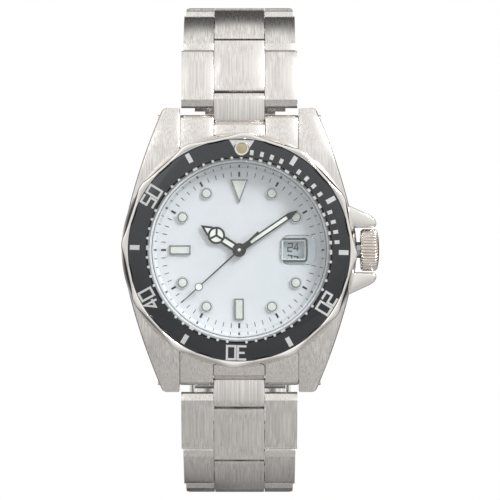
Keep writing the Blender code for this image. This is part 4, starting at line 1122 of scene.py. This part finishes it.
@dataclass
class Hands:
    """Hour, minute and seconds hands with their stacked hubs.

    Attributes:
        line: width of a hand's black outline.
        hub: radius of the hour and minute hands' hubs.
        angles: clock angles of the hour, minute and seconds hands.
    """

    line: float = 0.34
    hub: float = 1.15
    angles: tuple[float, float, float] = (302.7, 55.8, 227.6)

    def build(self) -> None:
        """Model the three hands and the pin."""
        self.hour()
        self.minute()
        self.seconds()

    def hour(self) -> None:
        """Hour hand: stem, ring with three spokes and a pointed tip."""
        low, high = span("hour_hand")[1]
        ring, reach, tip, half = 1.45, 4.5, 7.62, 0.8
        root = reach + sqrt(ring ** 2 - half ** 2) * 0.9
        lines = [circle((0.0, reach), ring - self.line / 2.0, 48)]
        lines[0].append(lines[0][0])
        stem = [(-0.52, 1.0), (-0.52, reach - ring + 0.12)]
        lines += [stem, [(-x, z) for x, z in stem]]
        lines.append([(-half + 0.1, root - 0.1), (-half + 0.1, root + 0.25), (0.0, tip - 0.35),
                      (half - 0.1, root + 0.25), (half - 0.1, root - 0.1)])
        for turn in (180.0, 60.0, -60.0):
            x, z = clock(turn, ring - 0.2)
            lines.append([(0.0, reach), (x, reach + z)])
        black = [Solid.ribbon(line, self.line, low, high) for line in lines]
        black.append(Solid.plate([(-0.16, tip - 0.7), (0.16, tip - 0.7), (0.0, tip)], low, high))
        black.append(Solid.plate(circle((0.0, 0.0), self.hub, 48), low, high))
        turn = self.angles[0]
        gathered(black).turned_to(turn).piece("hour_hand_lacquered", HAND_BLACK, "hour",
                                              ("hour_hand",))
        fields = [Solid.plate(circle((0.0, reach), ring - 0.1, 40), low + 0.02, high - 0.05),
                  Solid.plate([(-0.5, 1.0), (0.5, 1.0), (0.5, reach - ring + 0.1),
                               (-0.5, reach - ring + 0.1)], low + 0.02, high - 0.05),
                  Solid.plate([(-half + 0.1, root), (half - 0.1, root),
                               (half - 0.1, root + 0.25), (0.0, tip - 0.4),
                               (-half + 0.1, root + 0.25)], low + 0.03, high - 0.045)]
        gathered(fields).turned_to(turn).piece("hour_hand_lume", LUME_WHITE, "hour")

    def minute(self) -> None:
        """Minute hand: a long outlined baton with a solid point."""
        low, high = span("minute_hand")[1]
        half, tip = 0.52, 11.82
        line = self.line * 0.72
        inset = half - line / 2.0
        path = [(-inset, 1.0), (-inset, tip - 2.0), (inset, tip - 2.0), (inset, 1.0)]
        black = [Solid.ribbon(path, line, low, high),
                 Solid.plate([(-half, tip - 2.2), (half, tip - 2.2), (half, tip - 1.5),
                              (0.0, tip), (-half, tip - 1.5)], low, high),
                 Solid.plate(circle((0.0, 0.0), self.hub, 48), low, high),
                 Solid.plate([(-half, 0.8), (half, 0.8), (half, 2.3), (-half, 2.3)], low, high)]
        turn = self.angles[1]
        gathered(black).turned_to(turn).piece("minute_hand_lacquered", HAND_BLACK, "minute",
                                              ("minute_hand",))
        field_of_paste = [(-inset, 2.2), (inset, 2.2), (inset, tip - 2.1), (-inset, tip - 2.1)]
        Solid.plate(field_of_paste, low + 0.02, high - 0.05).turned_to(turn).piece(
            "minute_hand_lume", LUME_WHITE, "minute")

    def seconds(self) -> None:
        """Seconds hand: thin needle with a luminous eye and a tail, and the hub's cap."""
        low, high = span("seconds_hand")[1]
        eye, radius, tail, tip = 9.1, 0.68, 4.4, 13.1
        needle = [(-0.13, 0.0), (-0.24, -tail), (0.24, -tail), (0.13, 0.0), (0.1, eye),
                  (0.055, tip), (-0.055, tip), (-0.1, eye)]
        rim = circle((0.0, eye), radius - 0.1, 36)
        black = [Solid.plate(needle, low, high - 0.02),
                 Solid.ribbon(rim + [rim[0]], 0.2, low, high),
                 Solid.plate(circle((0.0, 0.0), 0.62, 36), low, high)]
        turn = self.angles[2]
        gathered(black).turned_to(turn).piece("seconds_hand_lacquered", HAND_BLACK, "seconds",
                                              ("seconds_hand",))
        Solid.plate(circle((0.0, eye), radius - 0.12, 32), low + 0.03, high + 0.005).turned_to(
            turn).piece("seconds_eye_lume", LUME_WHITE, "seconds")
        Solid.turned([(0.0, high - 0.05), (0.26, high - 0.05), (0.26, high + 0.03),
                      (0.2, high + 0.07), (0.0, high + 0.09)], 32).piece(
            "seconds_hub_pin", POLISHED, "seconds")


@dataclass
class Crystal:
    """Flat crystal with a bevelled rim, and the lens over the date.

    Attributes:
        bevel: width of the rim's bevel.
    """

    bevel: float = 0.35

    def build(self) -> None:
        """Model the glass and the lens."""
        (_, radius), (low, high), _ = span("crystal")
        Solid.turned([(0.0, low), (radius - 0.06, low), (radius, low + 0.06),
                      (radius, high - self.bevel), (radius - self.bevel, high), (0.0, high)],
                     192).piece("crystal_polished", GLASS, "case", ("crystal",), Grain.ROUND)
        (left, right), (low, high), (foot, head) = span("date_magnifier")
        outline = rounded((left + right) / 2.0, (foot + head) / 2.0, right - left, head - foot,
                          (head - foot) * 0.3)
        lens = Solid.plate(outline, low, high)
        lens.softened(0.22, 3, 60.0, lambda edge: all(vert.co.y < -low - 0.1
                                                      for vert in edge.verts))
        lens.piece("date_lens", LENS, "case", ("date_magnifier",), smooth=50.0)


# ---- case and crown ---------------------------------------------------------------------

@dataclass
class Case:
    """Mid case with four lugs, the crown guards and the neck under the bezel.

    Attributes:
        top: depth of the upper face over the dial.
        bottom: depth of the lower face.
        lug_top: depth of the upper face at a lug's end.
        lug_foot: depth of the lower face at a lug's end.
        lug_half: half the space between the lugs.
        wall: radius of the wall between the lugs.
        bore: radius of the hole for the movement.
        bend: where the lugs begin to fall away.
        flank_drop: how much narrower each flank is at the lugs' ends.
        flank_power: how late the flank curves in.
        bevel: width of the polished edge along the flank.
        half_width: half the width without guards, read from the frame, as are the next two.
        reach: from the middle to the lugs' ends.
        guard_reach: from the middle to the guards' tips.
        guard_depths: depths of the guards' lower and upper faces.
        drilling: depth and reach of a spring-bar drilling.
        neck_top: depth of the neck's upper face.
    """

    top: float = 6.8
    bottom: float = 1.0
    lug_top: float = 4.2
    lug_foot: float = 0.2
    lug_half: float = 10.0
    wall: float = 18.8
    bore: float = 14.55
    bend: float = 13.5
    flank_drop: float = 6.8
    flank_power: float = 1.44
    bevel: float = 0.55
    guard_depths: Point = (1.7, 6.7)
    drilling: Point = (2.2, 22.1)
    neck_top: float = 8.2
    half_width: float = field(init=False)
    reach: float = field(init=False)
    guard_reach: float = field(init=False)

    def __post_init__(self) -> None:
        """Read the outer sizes from the frame."""
        across, _, reaches = span("mid_case")
        self.half_width, self.guard_reach, self.reach = -across[0], across[1], reaches[1]

    def flank(self, z: float) -> float:
        """Half width of the case at a height."""
        return self.half_width - self.flank_drop * (abs(z) / self.reach) ** self.flank_power

    def half_outline(self) -> list[Point]:
        """Front outline of the crown half, without the guards.

        Returns:
            The corners in order.
        """
        root = sqrt(self.wall ** 2 - self.lug_half ** 2)
        corner = degrees(atan2(root, self.lug_half))
        steps = 36
        points = [(self.lug_half, self.reach)]
        for step in range(steps + 1):
            z = self.reach * (1.0 - 2.0 * step / steps)
            points.append((self.flank(z), z))
        points.append((self.lug_half, -self.reach))
        points += arc((0.0, 0.0), self.wall, -corner, -90.0, 12)
        points += arc((0.0, 0.0), self.bore, -90.0, 90.0, 60)
        points += arc((0.0, 0.0), self.wall, 90.0, corner, 12)
        return points

    def half(self) -> Solid:
        """One half of the milling, bent down at the lugs.

        Returns:
            The half, open along the seam.
        """
        solid = Solid.plate(self.half_outline(), 0.0, 1.0)
        bends = [self.bend + (self.reach - self.bend) * step / 8.0 for step in range(8)]
        for place in [-reach for reach in bends] + bends:
            everything = solid.bm.verts[:] + solid.bm.edges[:] + solid.bm.faces[:]
            bmesh.ops.bisect_plane(solid.bm, geom=everything, dist=0.0001,
                                   plane_co=(0.0, 0.0, place), plane_no=(0.0, 0.0, 1.0))
        for vert in solid.bm.verts:
            share = max(0.0, (abs(vert.co.z) - self.bend) / (self.reach - self.bend))
            if vert.co.y < -0.5:
                vert.co.y = -(self.top - (self.top - self.lug_top) * share ** 2)
            else:
                vert.co.y = -(self.bottom - (self.bottom - self.lug_foot) * share ** 2)
        seam = [face for face in solid.bm.faces
                if all(abs(vert.co.x) < 0.001 for vert in face.verts)]
        bmesh.ops.delete(solid.bm, geom=seam, context="FACES")
        return solid

    def build(self) -> None:
        """Model the case, the guards, the neck and the drilled lugs."""
        body = self.half()
        other = self.half()
        bmesh.ops.scale(other.bm, verts=other.bm.verts, vec=(-1.0, 1.0, 1.0))
        body.joined(other).clean()
        outer = self.wall + 0.3

        def on_flank(edge: bmesh.types.BMEdge) -> bool:
            """Whether an edge runs along the outer flank, top or bottom."""
            return all(abs(abs(vert.co.x) - self.flank(vert.co.z)) < 0.02
                       and hypot(vert.co.x, vert.co.z) > outer for vert in edge.verts)

        body.softened(self.bevel, 2, 50.0, on_flank)
        body.softened(0.16, 2, 50.0, lambda edge: all(
            hypot(vert.co.x, vert.co.z) > outer for vert in edge.verts))
        body.also(POLISHED, lambda face: face.normal.y > -0.8)
        body.piece("mid_case_milled", BRUSHED, "case", ("mid_case",), smooth=28.0)
        self.guards()
        neck = span("crystal_gasket")[0][1] + 0.1
        Solid.turned([(neck, self.top - 0.6), (neck + 0.85, self.top - 0.6),
                      (neck + 0.85, self.neck_top), (neck, self.neck_top)], 96).piece(
            "case_neck", TURNED, "case", grain=Grain.ROUND)
        Solid.turned([(self.bore, self.top - 0.4), (neck + 0.4, self.top - 0.4),
                      (neck + 0.4, 7.6), (self.bore, 7.6)], 96).piece(
            "crystal_ledge", TURNED, "case", grain=Grain.ROUND)
        self.lug_drillings()

    def guards(self) -> None:
        """Two crown guards that grow out of the flank."""
        far = self.guard_reach
        outline = [(self.flank(7.4) - 1.5, 8.0), (self.flank(7.4), 7.4), (far - 1.1, 5.82),
                   (far - 0.4, 5.35), (far - 0.08, 4.8), (far, 4.3), (far - 0.25, 3.75),
                   (self.half_width - 1.0, 3.72)]
        pair = []
        for side in (1.0, -1.0):
            guard = Solid.plate(outline, *self.guard_depths)
            if side < 0.0:
                guard.flipped()
            pair.append(guard.softened(0.42, 3, 40.0))
        gathered(pair).piece("crown_guards", POLISHED, "case", smooth=50.0)

    def lug_drillings(self) -> None:
        """Bright rims round the spring-bar drillings, with dark plugs in them as painted shade
        inside the bores.
        """
        rims, bores = [], []
        depth, reach = self.drilling
        face = self.flank(reach)
        for side in (1.0, -1.0):
            for across in (1.0, -1.0):
                rim = Solid.turned([(0.42, face - 0.6), (0.62, face - 0.6),
                                    (0.62, face + 0.12), (0.56, face + 0.18),
                                    (0.46, face + 0.16), (0.42, face + 0.08)], 28)
                # Each bore is a dark plug: painted shade inside the drilling.
                bore = Solid.turned([(0.0, face - 0.6), (0.43, face - 0.6),
                                     (0.43, face - 0.05), (0.0, face - 0.1)], 20)
                for part, group in ((rim, rims), (bore, bores)):
                    part.lay_along_x()
                    bmesh.ops.scale(part.bm, verts=part.bm.verts, vec=(across, 1.0, 1.0))
                    group.append(part.clean().moved(depth=depth, z=side * reach))
        gathered(rims).piece("lug_drilling_rims", POLISHED, "case")
        gathered(bores).piece("lug_drilling_bores", RUBBER_AND_HOLE_SHADE, "case")


@dataclass
class Crown:
    """Screw-down crown with coin-edge flutes.

    Attributes:
        flutes: number of grooves round the edge.
        groove: their depth.
    """

    flutes: int = 40
    groove: float = 0.22

    def build(self) -> None:
        """Model the crown where the frame has it."""
        (start, end), (low, high), _ = span("crown")
        radius, centre = (high - low) / 2.0, (high + low) / 2.0
        profile = [(0.0, start + 0.35), (radius - 1.2, start + 0.35), (radius - 1.2, start),
                   (radius - 0.35, start), (radius, start + 0.35), (radius, end - 0.75),
                   (radius - 0.12, end - 0.5), (radius - 0.42, end - 0.26),
                   (radius - 0.75, end - 0.2), (radius - 0.85, end - 0.24),
                   (radius - 1.0, end - 0.12), (radius * 0.45, end - 0.02), (0.0, end)]
        solid = Solid.turned(profile, self.flutes * 8)
        for vert in solid.bm.verts:
            away = hypot(vert.co.x, vert.co.z)
            if away > radius - 0.4 and -vert.co.y > start + 0.1:
                wave = 0.5 + 0.5 * cos(self.flutes * atan2(vert.co.x, vert.co.z))
                scale = (away - self.groove * wave ** 2) / away
                vert.co.x *= scale
                vert.co.z *= scale
        solid.mark_grain(Grain.ROUND).lay_along_x().moved(depth=centre)
        solid.piece("crown_fluted", CROWN_STEEL, "crown", ("crown",), smooth=38.0)


# ---- bracelet and clasp -----------------------------------------------------------------

@dataclass
class EndLink:
    """Solid end link between two lugs, with the tongue for the first link.

    Attributes:
        side: "12" or "6".
        centre: half width of the middle section.
        seam: gap between the middle and the cheeks.
        half: half its whole width.
        cheek_end: where the cheeks end.
        shoulder: where the middle ends.
        fall: how far the top lies under the case's upper face.
        thick: half the tongue's thickness.
    """

    side: str
    centre: float = 4.25
    seam: float = 0.12
    half: float = 9.92
    cheek_end: float = 22.6
    shoulder: float = 21.4
    fall: float = 0.45
    thick: float = 1.35

    def top(self, z: float) -> float:
        """Depth of the upper face at a height."""
        case = Case()
        share = max(0.0, (z - case.bend) / (case.reach - case.bend))
        return case.top - self.fall - (case.top - case.lug_top) * share ** 2

    def block(self, left: float, right: float, end: float) -> Solid:
        """One length of the end link, from under the bezel to its outer end.

        Args:
            left: x of its first side.
            right: x of its second side.
            end: where it ends.

        Returns:
            The length, with its edges broken.
        """
        start, foot = 16.2, 0.8
        line = [(start + (end - 0.5 - start) * step / 8.0) for step in range(9)]
        outline = [(z, self.top(z)) for z in line]
        outline += [(end - 0.12, self.top(end) - 0.28), (end, self.top(end) - 0.6),
                    (end, foot + 0.2), (end - 0.2, foot), (start, foot)]
        return Solid.bar(outline, left, right).softened(0.14, 2, 50.0)

    def build(self) -> None:
        """Model the cheeks, the middle and the tongue."""
        inner = self.centre + self.seam
        blocks = [self.block(-self.half, -inner, self.cheek_end),
                  self.block(inner, self.half, self.cheek_end),
                  self.block(-self.centre, self.centre, self.shoulder)]
        reach, depth = reach_of("link_%s_1_bend" % self.side)
        start = self.shoulder + 0.14
        outline = [(start, depth - self.thick + 0.3), (start, depth + self.thick - 0.35),
                   (start + 0.3, depth + self.thick - 0.04), (start + 0.6, depth + self.thick)]
        outline += arc((reach, depth), self.thick, 90.0, -90.0, 14)
        blocks.append(Solid.bar(outline, -self.centre, self.centre).softened(0.12, 2, 50.0))
        core = [(self.shoulder - 1.0, depth - 0.9), (self.shoulder - 1.0, depth + 0.9),
                (start + 1.0, depth + 0.9), (start + 1.0, depth - 0.9)]
        blocks.append(Solid.bar(core, -self.centre + 0.1, self.centre - 0.1))
        solid = gathered(blocks)
        if self.side == "6":
            solid.flipped()
        solid.also(POLISHED, lambda face: abs(face.normal.x) > FLANK_FACING)
        name = "end_link_" + self.side
        solid.piece(name + "_brushed", BRUSHED, "case", (name,), smooth=28.0)


@dataclass
class Link:
    """One link of the bracelet: a middle and two outer pieces on a tube and a pin.

    Attributes:
        side: "12" or "6".
        number: counted from the case.
        centre: half width of the middle piece.
        seam: gap between the pieces.
        thick: half the link's thickness.
        gap: clearance round a neighbour's tube.
        crown: how far the upper face's ends lie below its middle.
        edge: width of the broken edges.
        pitch: distance between its hinges, read from the frame, as are the next three.
        half: half its whole width.
        start: reach and depth of its first hinge.
        tilt: how far it leans at rest, in degrees.
    """

    side: str
    number: int
    centre: float = 4.25
    seam: float = 0.1
    thick: float = 1.35
    gap: float = 0.3
    crown: float = 0.25
    edge: float = 0.16
    pitch: float = field(init=False)
    half: float = field(init=False)
    start: Point = field(init=False)
    tilt: float = field(init=False)

    def __post_init__(self) -> None:
        """Read the link's hinges and width from the frame."""
        here = "link_%s_%d_bend" % (self.side, self.number)
        self.start = reach_of(here)
        self.half = span("link_%s_%d" % (self.side, self.number))[0][1]
        if self.number < LINKS_PER_SIDE:
            end = reach_of("link_%s_%d_bend" % (self.side, self.number + 1))
        else:
            end = reach_of("clasp_end_bend")
        run, drop = end[0] - self.start[0], self.start[1] - end[1]
        self.pitch = hypot(run, drop)
        self.tilt = degrees(atan2(drop, run))

    def outer_outline(self) -> list[Point]:
        """Side view of an outer piece: round at the case, hollow at the far end.

        Returns:
            The corners in order.
        """
        hollow = self.thick + self.gap
        corner = degrees(asin(self.thick / hollow))
        points = arc((0.0, 0.0), self.thick, 270.0, 162.0, 10)
        far = self.pitch - hollow * cos(radians(corner))
        points += self.upper(-0.35, far - 0.35)
        points.append((far - 0.06, self.thick - self.crown - 0.16))
        points += arc((self.pitch, 0.0), hollow, 180.0 - corner + 12.0, 180.0 + corner, 8)
        return points

    def middle_outline(self) -> list[Point]:
        """Side view of the middle piece: hollow at the case, round at the far end.

        Returns:
            The corners in order.
        """
        hollow = self.thick + self.gap
        corner = degrees(asin(self.thick / hollow))
        points = arc((0.0, 0.0), hollow, -corner, corner - 16.0, 8)
        points += self.upper(hollow * cos(radians(corner)) + 1.05, self.pitch)
        points += arc((self.pitch, 0.0), self.thick, 48.0, -90.0, 12)
        return points

    def upper(self, start: float, stop: float) -> list[Point]:
        """The slightly crowned upper line of a piece.

        Args:
            start: where it begins.
            stop: where it ends.

        Returns:
            The points of the line.
        """
        line = []
        for step in range(9):
            off = step / 4.0 - 1.0
            line.append((start + (stop - start) * step / 8.0,
                         self.thick - self.crown * off * off))
        return line

    def build(self) -> None:
        """Model the three pieces, the tube and the pin."""
        bars = []
        for sign in (-1.0, 1.0):
            bar = Solid.bar(self.outer_outline(), sign * (self.centre + self.seam),
                            sign * self.half)
            bars.append(bar.softened(self.edge, 2, 50.0))
        middle = Solid.bar(self.middle_outline(), -self.centre, self.centre)
        bars.append(middle.softened(self.edge, 2, 50.0))
        reach = self.half - 0.62
        for radius, place, steps in ((0.5, 0.0, 20), (0.85, self.pitch / 2.0, 20)):
            rod = Solid.turned([(0.0, -reach), (radius, -reach), (radius, reach), (0.0, reach)],
                               steps)
            bars.append(rod.lay_along_x().moved(z=place))
        screw = Solid.turned([(0.0, self.half - 0.3), (0.62, self.half - 0.3),
                              (0.62, self.half - 0.02), (0.5, self.half + 0.03),
                              (0.0, self.half + 0.03)], 24)
        bars.append(screw.lay_along_x())
        solid = gathered(bars)
        solid.also(POLISHED, lambda face: abs(face.normal.x) > FLANK_FACING)
        solid.mark_grain()
        name = "link_%s_%d" % (self.side, self.number)
        layer = solid.bm.verts.layers.float_vector["grain"]
        for vert in solid.bm.verts:
            third = 1.0 if vert.co.x > self.centre + 0.05 else 0.0
            third = -1.0 if vert.co.x < -self.centre - 0.05 else third
            vert[layer] = vert[layer] + Vector((0.0, 0.0, 0.02 * third + 0.1 * self.number))
        solid.leaned(self.tilt).moved(depth=self.start[1], z=self.start[0])
        if self.side == "6":
            solid.flipped()
        solid.piece(name + "_brushed", BRUSHED, name, (name,), smooth=28.0)


@dataclass
class Clasp:
    """Fold-over clasp: the outer cover is rebuilt, the blades keep their frame shape.

    Attributes:
        wall: thickness of the cover and of its side walls.
        edge: width of the broken edges.
        bend: radius of the curve on which the hinges lie.
        rise: from that curve out to the cover's face.
        plate: first and last reach of the cover's plate.
        walls: first and last reach of its side walls.
        wall_height: from the outer face to the side walls' foot.
    """

    wall: float = 0.8
    edge: float = 0.22
    bend: float = 80.0
    rise: float = 3.4
    plate: Point = (-22.2, 20.4)
    walls: Point = (-26.2, 20.3)
    wall_height: float = 3.8

    def bow(self) -> tuple[Point, float]:
        """Centre of the cover's curve, as reach and depth, and its outer radius."""
        reach, depth = reach_of("clasp_end_bend")
        return (0.0, depth + sqrt(self.bend ** 2 - reach ** 2)), self.bend + self.rise

    def strip(self, low: float, high: float, start: float, stop: float) -> list[Point]:
        """Side outline of a curved strip between two radii and two reaches.

        Args:
            low: the inner radius.
            high: the outer radius.
            start: the first reach.
            stop: the last reach.

        Returns:
            The corners in order.
        """
        (_, centre), _ = self.bow()
        sides = []
        for radius in (low, high):
            row = []
            for step in range(21):
                turn = asin((start + (stop - start) * step / 20.0) / self.bend)
                row.append((radius * sin(turn), centre - radius * cos(turn)))
            sides.append(row)
        return sides[0] + sides[1][::-1]

    def build(self) -> None:
        """Model the cover and the pressed edge of its plate."""
        _, outer = self.bow()
        half = span("clasp_cover")[0][1]
        plate = Solid.bar(self.strip(outer - self.wall, outer, *self.plate), -half, half)
        parts = [plate.softened(self.edge, 3, 50.0)]
        for sign in (-1.0, 1.0):
            wall = Solid.bar(self.strip(outer - self.wall_height, outer - 0.3, *self.walls),
                             sign * (half - self.wall), sign * (half - 0.02))
            parts.append(wall.softened(self.edge, 2, 50.0))
        cover = gathered(parts)
        cover.also(POLISHED, lambda face: abs(face.normal.x) > FLANK_FACING)
        cover.piece("clasp_cover_pressed", BRUSHED, "clasp_cover", ("clasp_cover",),
                    smooth=28.0)


# ---- back and movement ------------------------------------------------------------------

@dataclass
class CaseBack:
    """Screwed case back with key slots shown as discs of painted shade, and two turned rings.

    Attributes:
        slots: number of key slots.
        flange: thickness of the part outside the case.
    """

    slots: int = 6
    flange: float = 0.92

    def build(self) -> None:
        """Model the back where the frame has it."""
        (_, radius), (low, _), _ = span("case_back")
        flange = low + self.flange
        profile = [(0.0, low + 0.02), (9.6, low + 0.02), (9.8, low + 0.1), (10.2, low + 0.1),
                   (10.4, low + 0.02), (13.2, low + 0.02), (13.3, low + 0.12),
                   (13.6, low + 0.12), (13.7, low), (radius - 0.35, low), (radius, low + 0.3),
                   (radius, flange), (14.4, flange), (14.4, flange + 1.3), (13.3, flange + 1.3),
                   (13.3, flange), (0.0, flange)]
        back = Solid.turned(profile, 192)
        back.piece("case_back_turned", TURNED, "case", ("case_back",), Grain.ROUND)
        # Each key slot is a flush dark disc: painted shade where the slot's recess would be.
        cuts = []
        for index in range(self.slots):
            x, z = clock(index * 360.0 / self.slots, radius - 0.85)
            cuts.append(Solid.plate(circle((x, z), 0.62, 20), low - 0.01, low + 0.2))
        gathered(cuts).piece("case_back_key_slots", RUBBER_AND_HOLE_SHADE, "case")


SLOT_FINISHES = {
    "brushed_steel": BRUSHED, "polished_steel": POLISHED, "spring_steel": SPRING,
    "movement_brass": BRASS, "copper_wire": COPPER, "hand_black": HAND_BLACK,
    "rotor_magnet": MAGNET, "insert_black": INSERT, "dial_white": DIAL, "lume": LUME_WHITE,
    "crystal_glass": GLASS, "seal_rubber": RUBBER_AND_HOLE_SHADE, "holder_plastic": ACETAL,
    "board_green": BOARD,
}

# The date ring's greyer white is painted shade; the gasket's grey is a painted reflection of the
# crystal's edge.
SPECIAL_FINISHES = {"date_ring": DATE_WHITE_IN_PAINTED_SHADE, "crystal_gasket": GASKET_PAINTED_EDGE_GREY}


def dress_frame() -> None:
    """Give every frame node that stays visible a worked finish."""
    for made in bpy.data.objects:
        if made.type != "MESH" or made.name not in frame["nodes"]:
            continue
        for place in made.material_slots:
            name = place.material.name.split(".")[0] if place.material else ""
            if name in SLOT_FINISHES:
                chosen = SPECIAL_FINISHES.get(made.name, SLOT_FINISHES[name])
                place.material = chosen.material(on_frame=True)


# ---- studio -----------------------------------------------------------------------------

@dataclass
class Studio:
    """White room with a pale floor, two soft lamps and a long lens.

    Attributes:
        distance: from the case to the lens, in metres.
        view: width of the picture at the case, in metres.
        shift: how far the lens stands towards the crown, in metres.
        room: strength of the plain light that reaches matte surfaces.
        floor_reach: the floor's radius, in millimetres.
        floor_gap: from the watch's lowest point down to the floor, in metres.
        upwards: brightness of the room by height, as gloss shows it.
        behind: brightness of the room from front to back, as gloss shows it.
        dial_plane: y of the plane that fills the picture's width.
        sensor: width of the sensor, in millimetres.
        paper_lift: how much whiter the lens sees the floor than light makes it.
    """

    distance: float = 0.5
    view: float = 0.0833
    shift: float = 0.0018
    room: float = 0.36
    floor_reach: float = 150.0
    floor_gap: float = 0.014
    dial_plane: float = -0.007
    sensor: float = 36.0
    paper_lift: float = 0.55
    upwards: tuple[Point, ...] = ((0.0, 0.4), (0.18, 0.46), (0.35, 0.55), (0.5, 0.84),
                                  (0.65, 1.0), (1.0, 1.04))
    behind: tuple[Point, ...] = ((0.0, 1.0), (0.655, 1.0), (0.69, 0.3), (0.72, 0.06),
                                 (0.88, 0.08), (0.95, 0.4), (1.0, 0.8))

    def build(self) -> None:
        """Set up the room."""
        self.world()
        self.floor()
        self.lamp("key", (0.32, -0.30, 0.34), 0.15, 1.6)
        self.lamp("fill", (-0.32, -0.36, 0.30), 0.30, 0.12)
        self.camera()

    def world(self) -> None:
        """White for the lens, a soft gradient for reflections."""
        world = bpy.data.worlds.new("studio_white")
        world.use_nodes = True
        tree = world.node_tree
        back = tree.nodes["Background"]
        place = add_node(tree, "ShaderNodeTexCoord")
        parts = add_node(tree, "ShaderNodeSeparateXYZ",
                         links={"Vector": place.outputs["Generated"]})
        level = {"From Min": -1.0, "From Max": 1.0}
        height = add_node(tree, "ShaderNodeMapRange", level, {"Value": parts.outputs["Z"]})
        away = add_node(tree, "ShaderNodeMapRange", level, {"Value": parts.outputs["Y"]})
        rise = ramp(tree, height.outputs["Result"],
                    [(place, (shade, shade, shade, 1.0)) for place, shade in self.upwards])
        fade = ramp(tree, away.outputs["Result"],
                    [(place, (shade, shade, shade, 1.0)) for place, shade in self.behind])
        both = add_node(tree, "ShaderNodeMath", {"operation": "MULTIPLY"}, {0: rise, 1: fade})
        tree.links.new(both.outputs["Value"], back.inputs["Strength"])
        back.inputs["Color"].default_value = WHITE
        plain = add_node(tree, "ShaderNodeBackground", {"Color": WHITE, "Strength": 1.0})
        soft = add_node(tree, "ShaderNodeBackground", {"Color": WHITE,
                                                       "Strength": self.room})
        path = add_node(tree, "ShaderNodeLightPath")
        seen = add_node(tree, "ShaderNodeMath", {"operation": "MAXIMUM"},
                        {0: path.outputs["Is Camera Ray"],
                         1: path.outputs["Is Transmission Ray"]})
        lit = add_node(tree, "ShaderNodeMixShader",
                       links={0: path.outputs["Is Glossy Ray"], 1: soft.outputs["Background"],
                              2: back.outputs["Background"]})
        mix = add_node(tree, "ShaderNodeMixShader",
                       links={0: seen.outputs["Value"], 1: lit.outputs["Shader"],
                              2: plain.outputs["Background"]})
        tree.links.new(mix.outputs["Shader"], tree.nodes["World Output"].inputs["Surface"])
        bpy.context.scene.world = world

    def floor(self) -> None:
        """Plain pale floor disc under the watch; its rear is painted grey for reflections only, a
        painted dark reflection in the metal.
        """
        low, _ = CAD_BOX
        solid = Solid()
        bmesh.ops.create_circle(solid.bm, cap_ends=True, segments=128, radius=self.floor_reach)
        mesh = bpy.data.meshes.new("studio_floor")
        bmesh.ops.scale(solid.bm, verts=solid.bm.verts, vec=(MM, MM, MM))
        solid.bm.to_mesh(mesh)
        solid.bm.free()
        floor = bpy.data.objects.new("studio_floor", mesh)
        floor.location = (0.0, 0.0, low[2] - self.floor_gap)
        bpy.context.scene.collection.objects.link(floor)
        material = bpy.data.materials.new("matte_white_paper_and_painted_reflection")
        material.use_nodes = True
        tree = material.node_tree
        shader = tree.nodes["Principled BSDF"]
        shader.inputs["Roughness"].default_value = 0.9
        place = add_node(tree, "ShaderNodeTexCoord")
        grain = add_node(tree, "ShaderNodeTexNoise", {"Scale": 900.0, "Detail": 3.0},
                         {"Vector": place.outputs["Object"]})
        colour = ramp(tree, grain.outputs["Fac"], [(0.3, (0.80, 0.80, 0.80, 1.0)),
                                                   (0.7, (0.83, 0.83, 0.83, 1.0))])
        tree.links.new(colour, shader.inputs["Base Color"])
        path = add_node(tree, "ShaderNodeLightPath")
        lift = add_node(tree, "ShaderNodeMath", {"operation": "MULTIPLY", 1: self.paper_lift},
                        {0: path.outputs["Is Camera Ray"]})
        shader.inputs["Emission Color"].default_value = WHITE
        tree.links.new(lift.outputs["Value"], shader.inputs["Emission Strength"])
        # Painted dark reflection: glossy rays see the floor's rear half as grey.
        shade = add_node(tree, "ShaderNodeBsdfDiffuse", {"Color": linear("#8C8C8C")})
        parts = add_node(tree, "ShaderNodeSeparateXYZ", {}, {0: place.outputs["Object"]})
        rear = add_node(tree, "ShaderNodeMapRange", {"From Min": 0.0, "From Max": 0.03},
                        {"Value": parts.outputs["Y"]})
        share = add_node(tree, "ShaderNodeMath", {"operation": "MULTIPLY"},
                         {0: rear.outputs["Result"], 1: path.outputs["Is Glossy Ray"]})
        mixed = add_node(tree, "ShaderNodeMixShader", {},
                         {0: share.outputs["Value"], 1: shader.outputs["BSDF"],
                          2: shade.outputs["BSDF"]})
        tree.links.new(mixed.outputs["Shader"],
                       tree.nodes["Material Output"].inputs["Surface"])
        mesh.materials.append(material)

    def lamp(self, name: str, place: Point3, size: float, power: float) -> None:
        """A square soft lamp that faces the watch.

        Args:
            name: the lamp's name.
            place: where it stands, in metres.
            size: its side, in metres.
            power: in watts.
        """
        light = bpy.data.lights.new(name, "AREA")
        light.size = size
        light.energy = power
        lamp = bpy.data.objects.new(name, light)
        lamp.location = place
        aim = Vector((0.0, 0.01, 0.0)) - Vector(place)
        lamp.rotation_euler = aim.to_track_quat("-Z", "Y").to_euler()
        bpy.context.scene.collection.objects.link(lamp)

    def camera(self) -> None:
        """A long lens square to the dial."""
        data = bpy.data.cameras.new("lens")
        data.sensor_width = self.sensor
        data.lens = self.sensor * (self.distance + self.dial_plane) / self.view
        data.clip_start = 0.01
        lens = bpy.data.objects.new("lens", data)
        lens.location = (self.shift, -self.distance, 0.0)
        lens.rotation_euler = (pi / 2.0, 0.0, 0.0)
        bpy.context.scene.collection.objects.link(lens)
        bpy.context.scene.camera = lens
        bpy.context.scene.view_settings.view_transform = "Standard"


def main() -> None:
    """Build every sub-assembly in order, then the studio."""
    logging.basicConfig(level=logging.INFO, format="%(message)s")
    Case().build()
    CaseBack().build()
    Bezel().build()
    Dial().build()
    Hands().build()
    Crystal().build()
    Crown().build()
    for side in ("12", "6"):
        EndLink(side).build()
        for number in range(1, LINKS_PER_SIDE + 1):
            Link(side, number).build()
    Clasp().build()
    dress_frame()
    Studio().build()


if __name__ == "__main__":
    main()
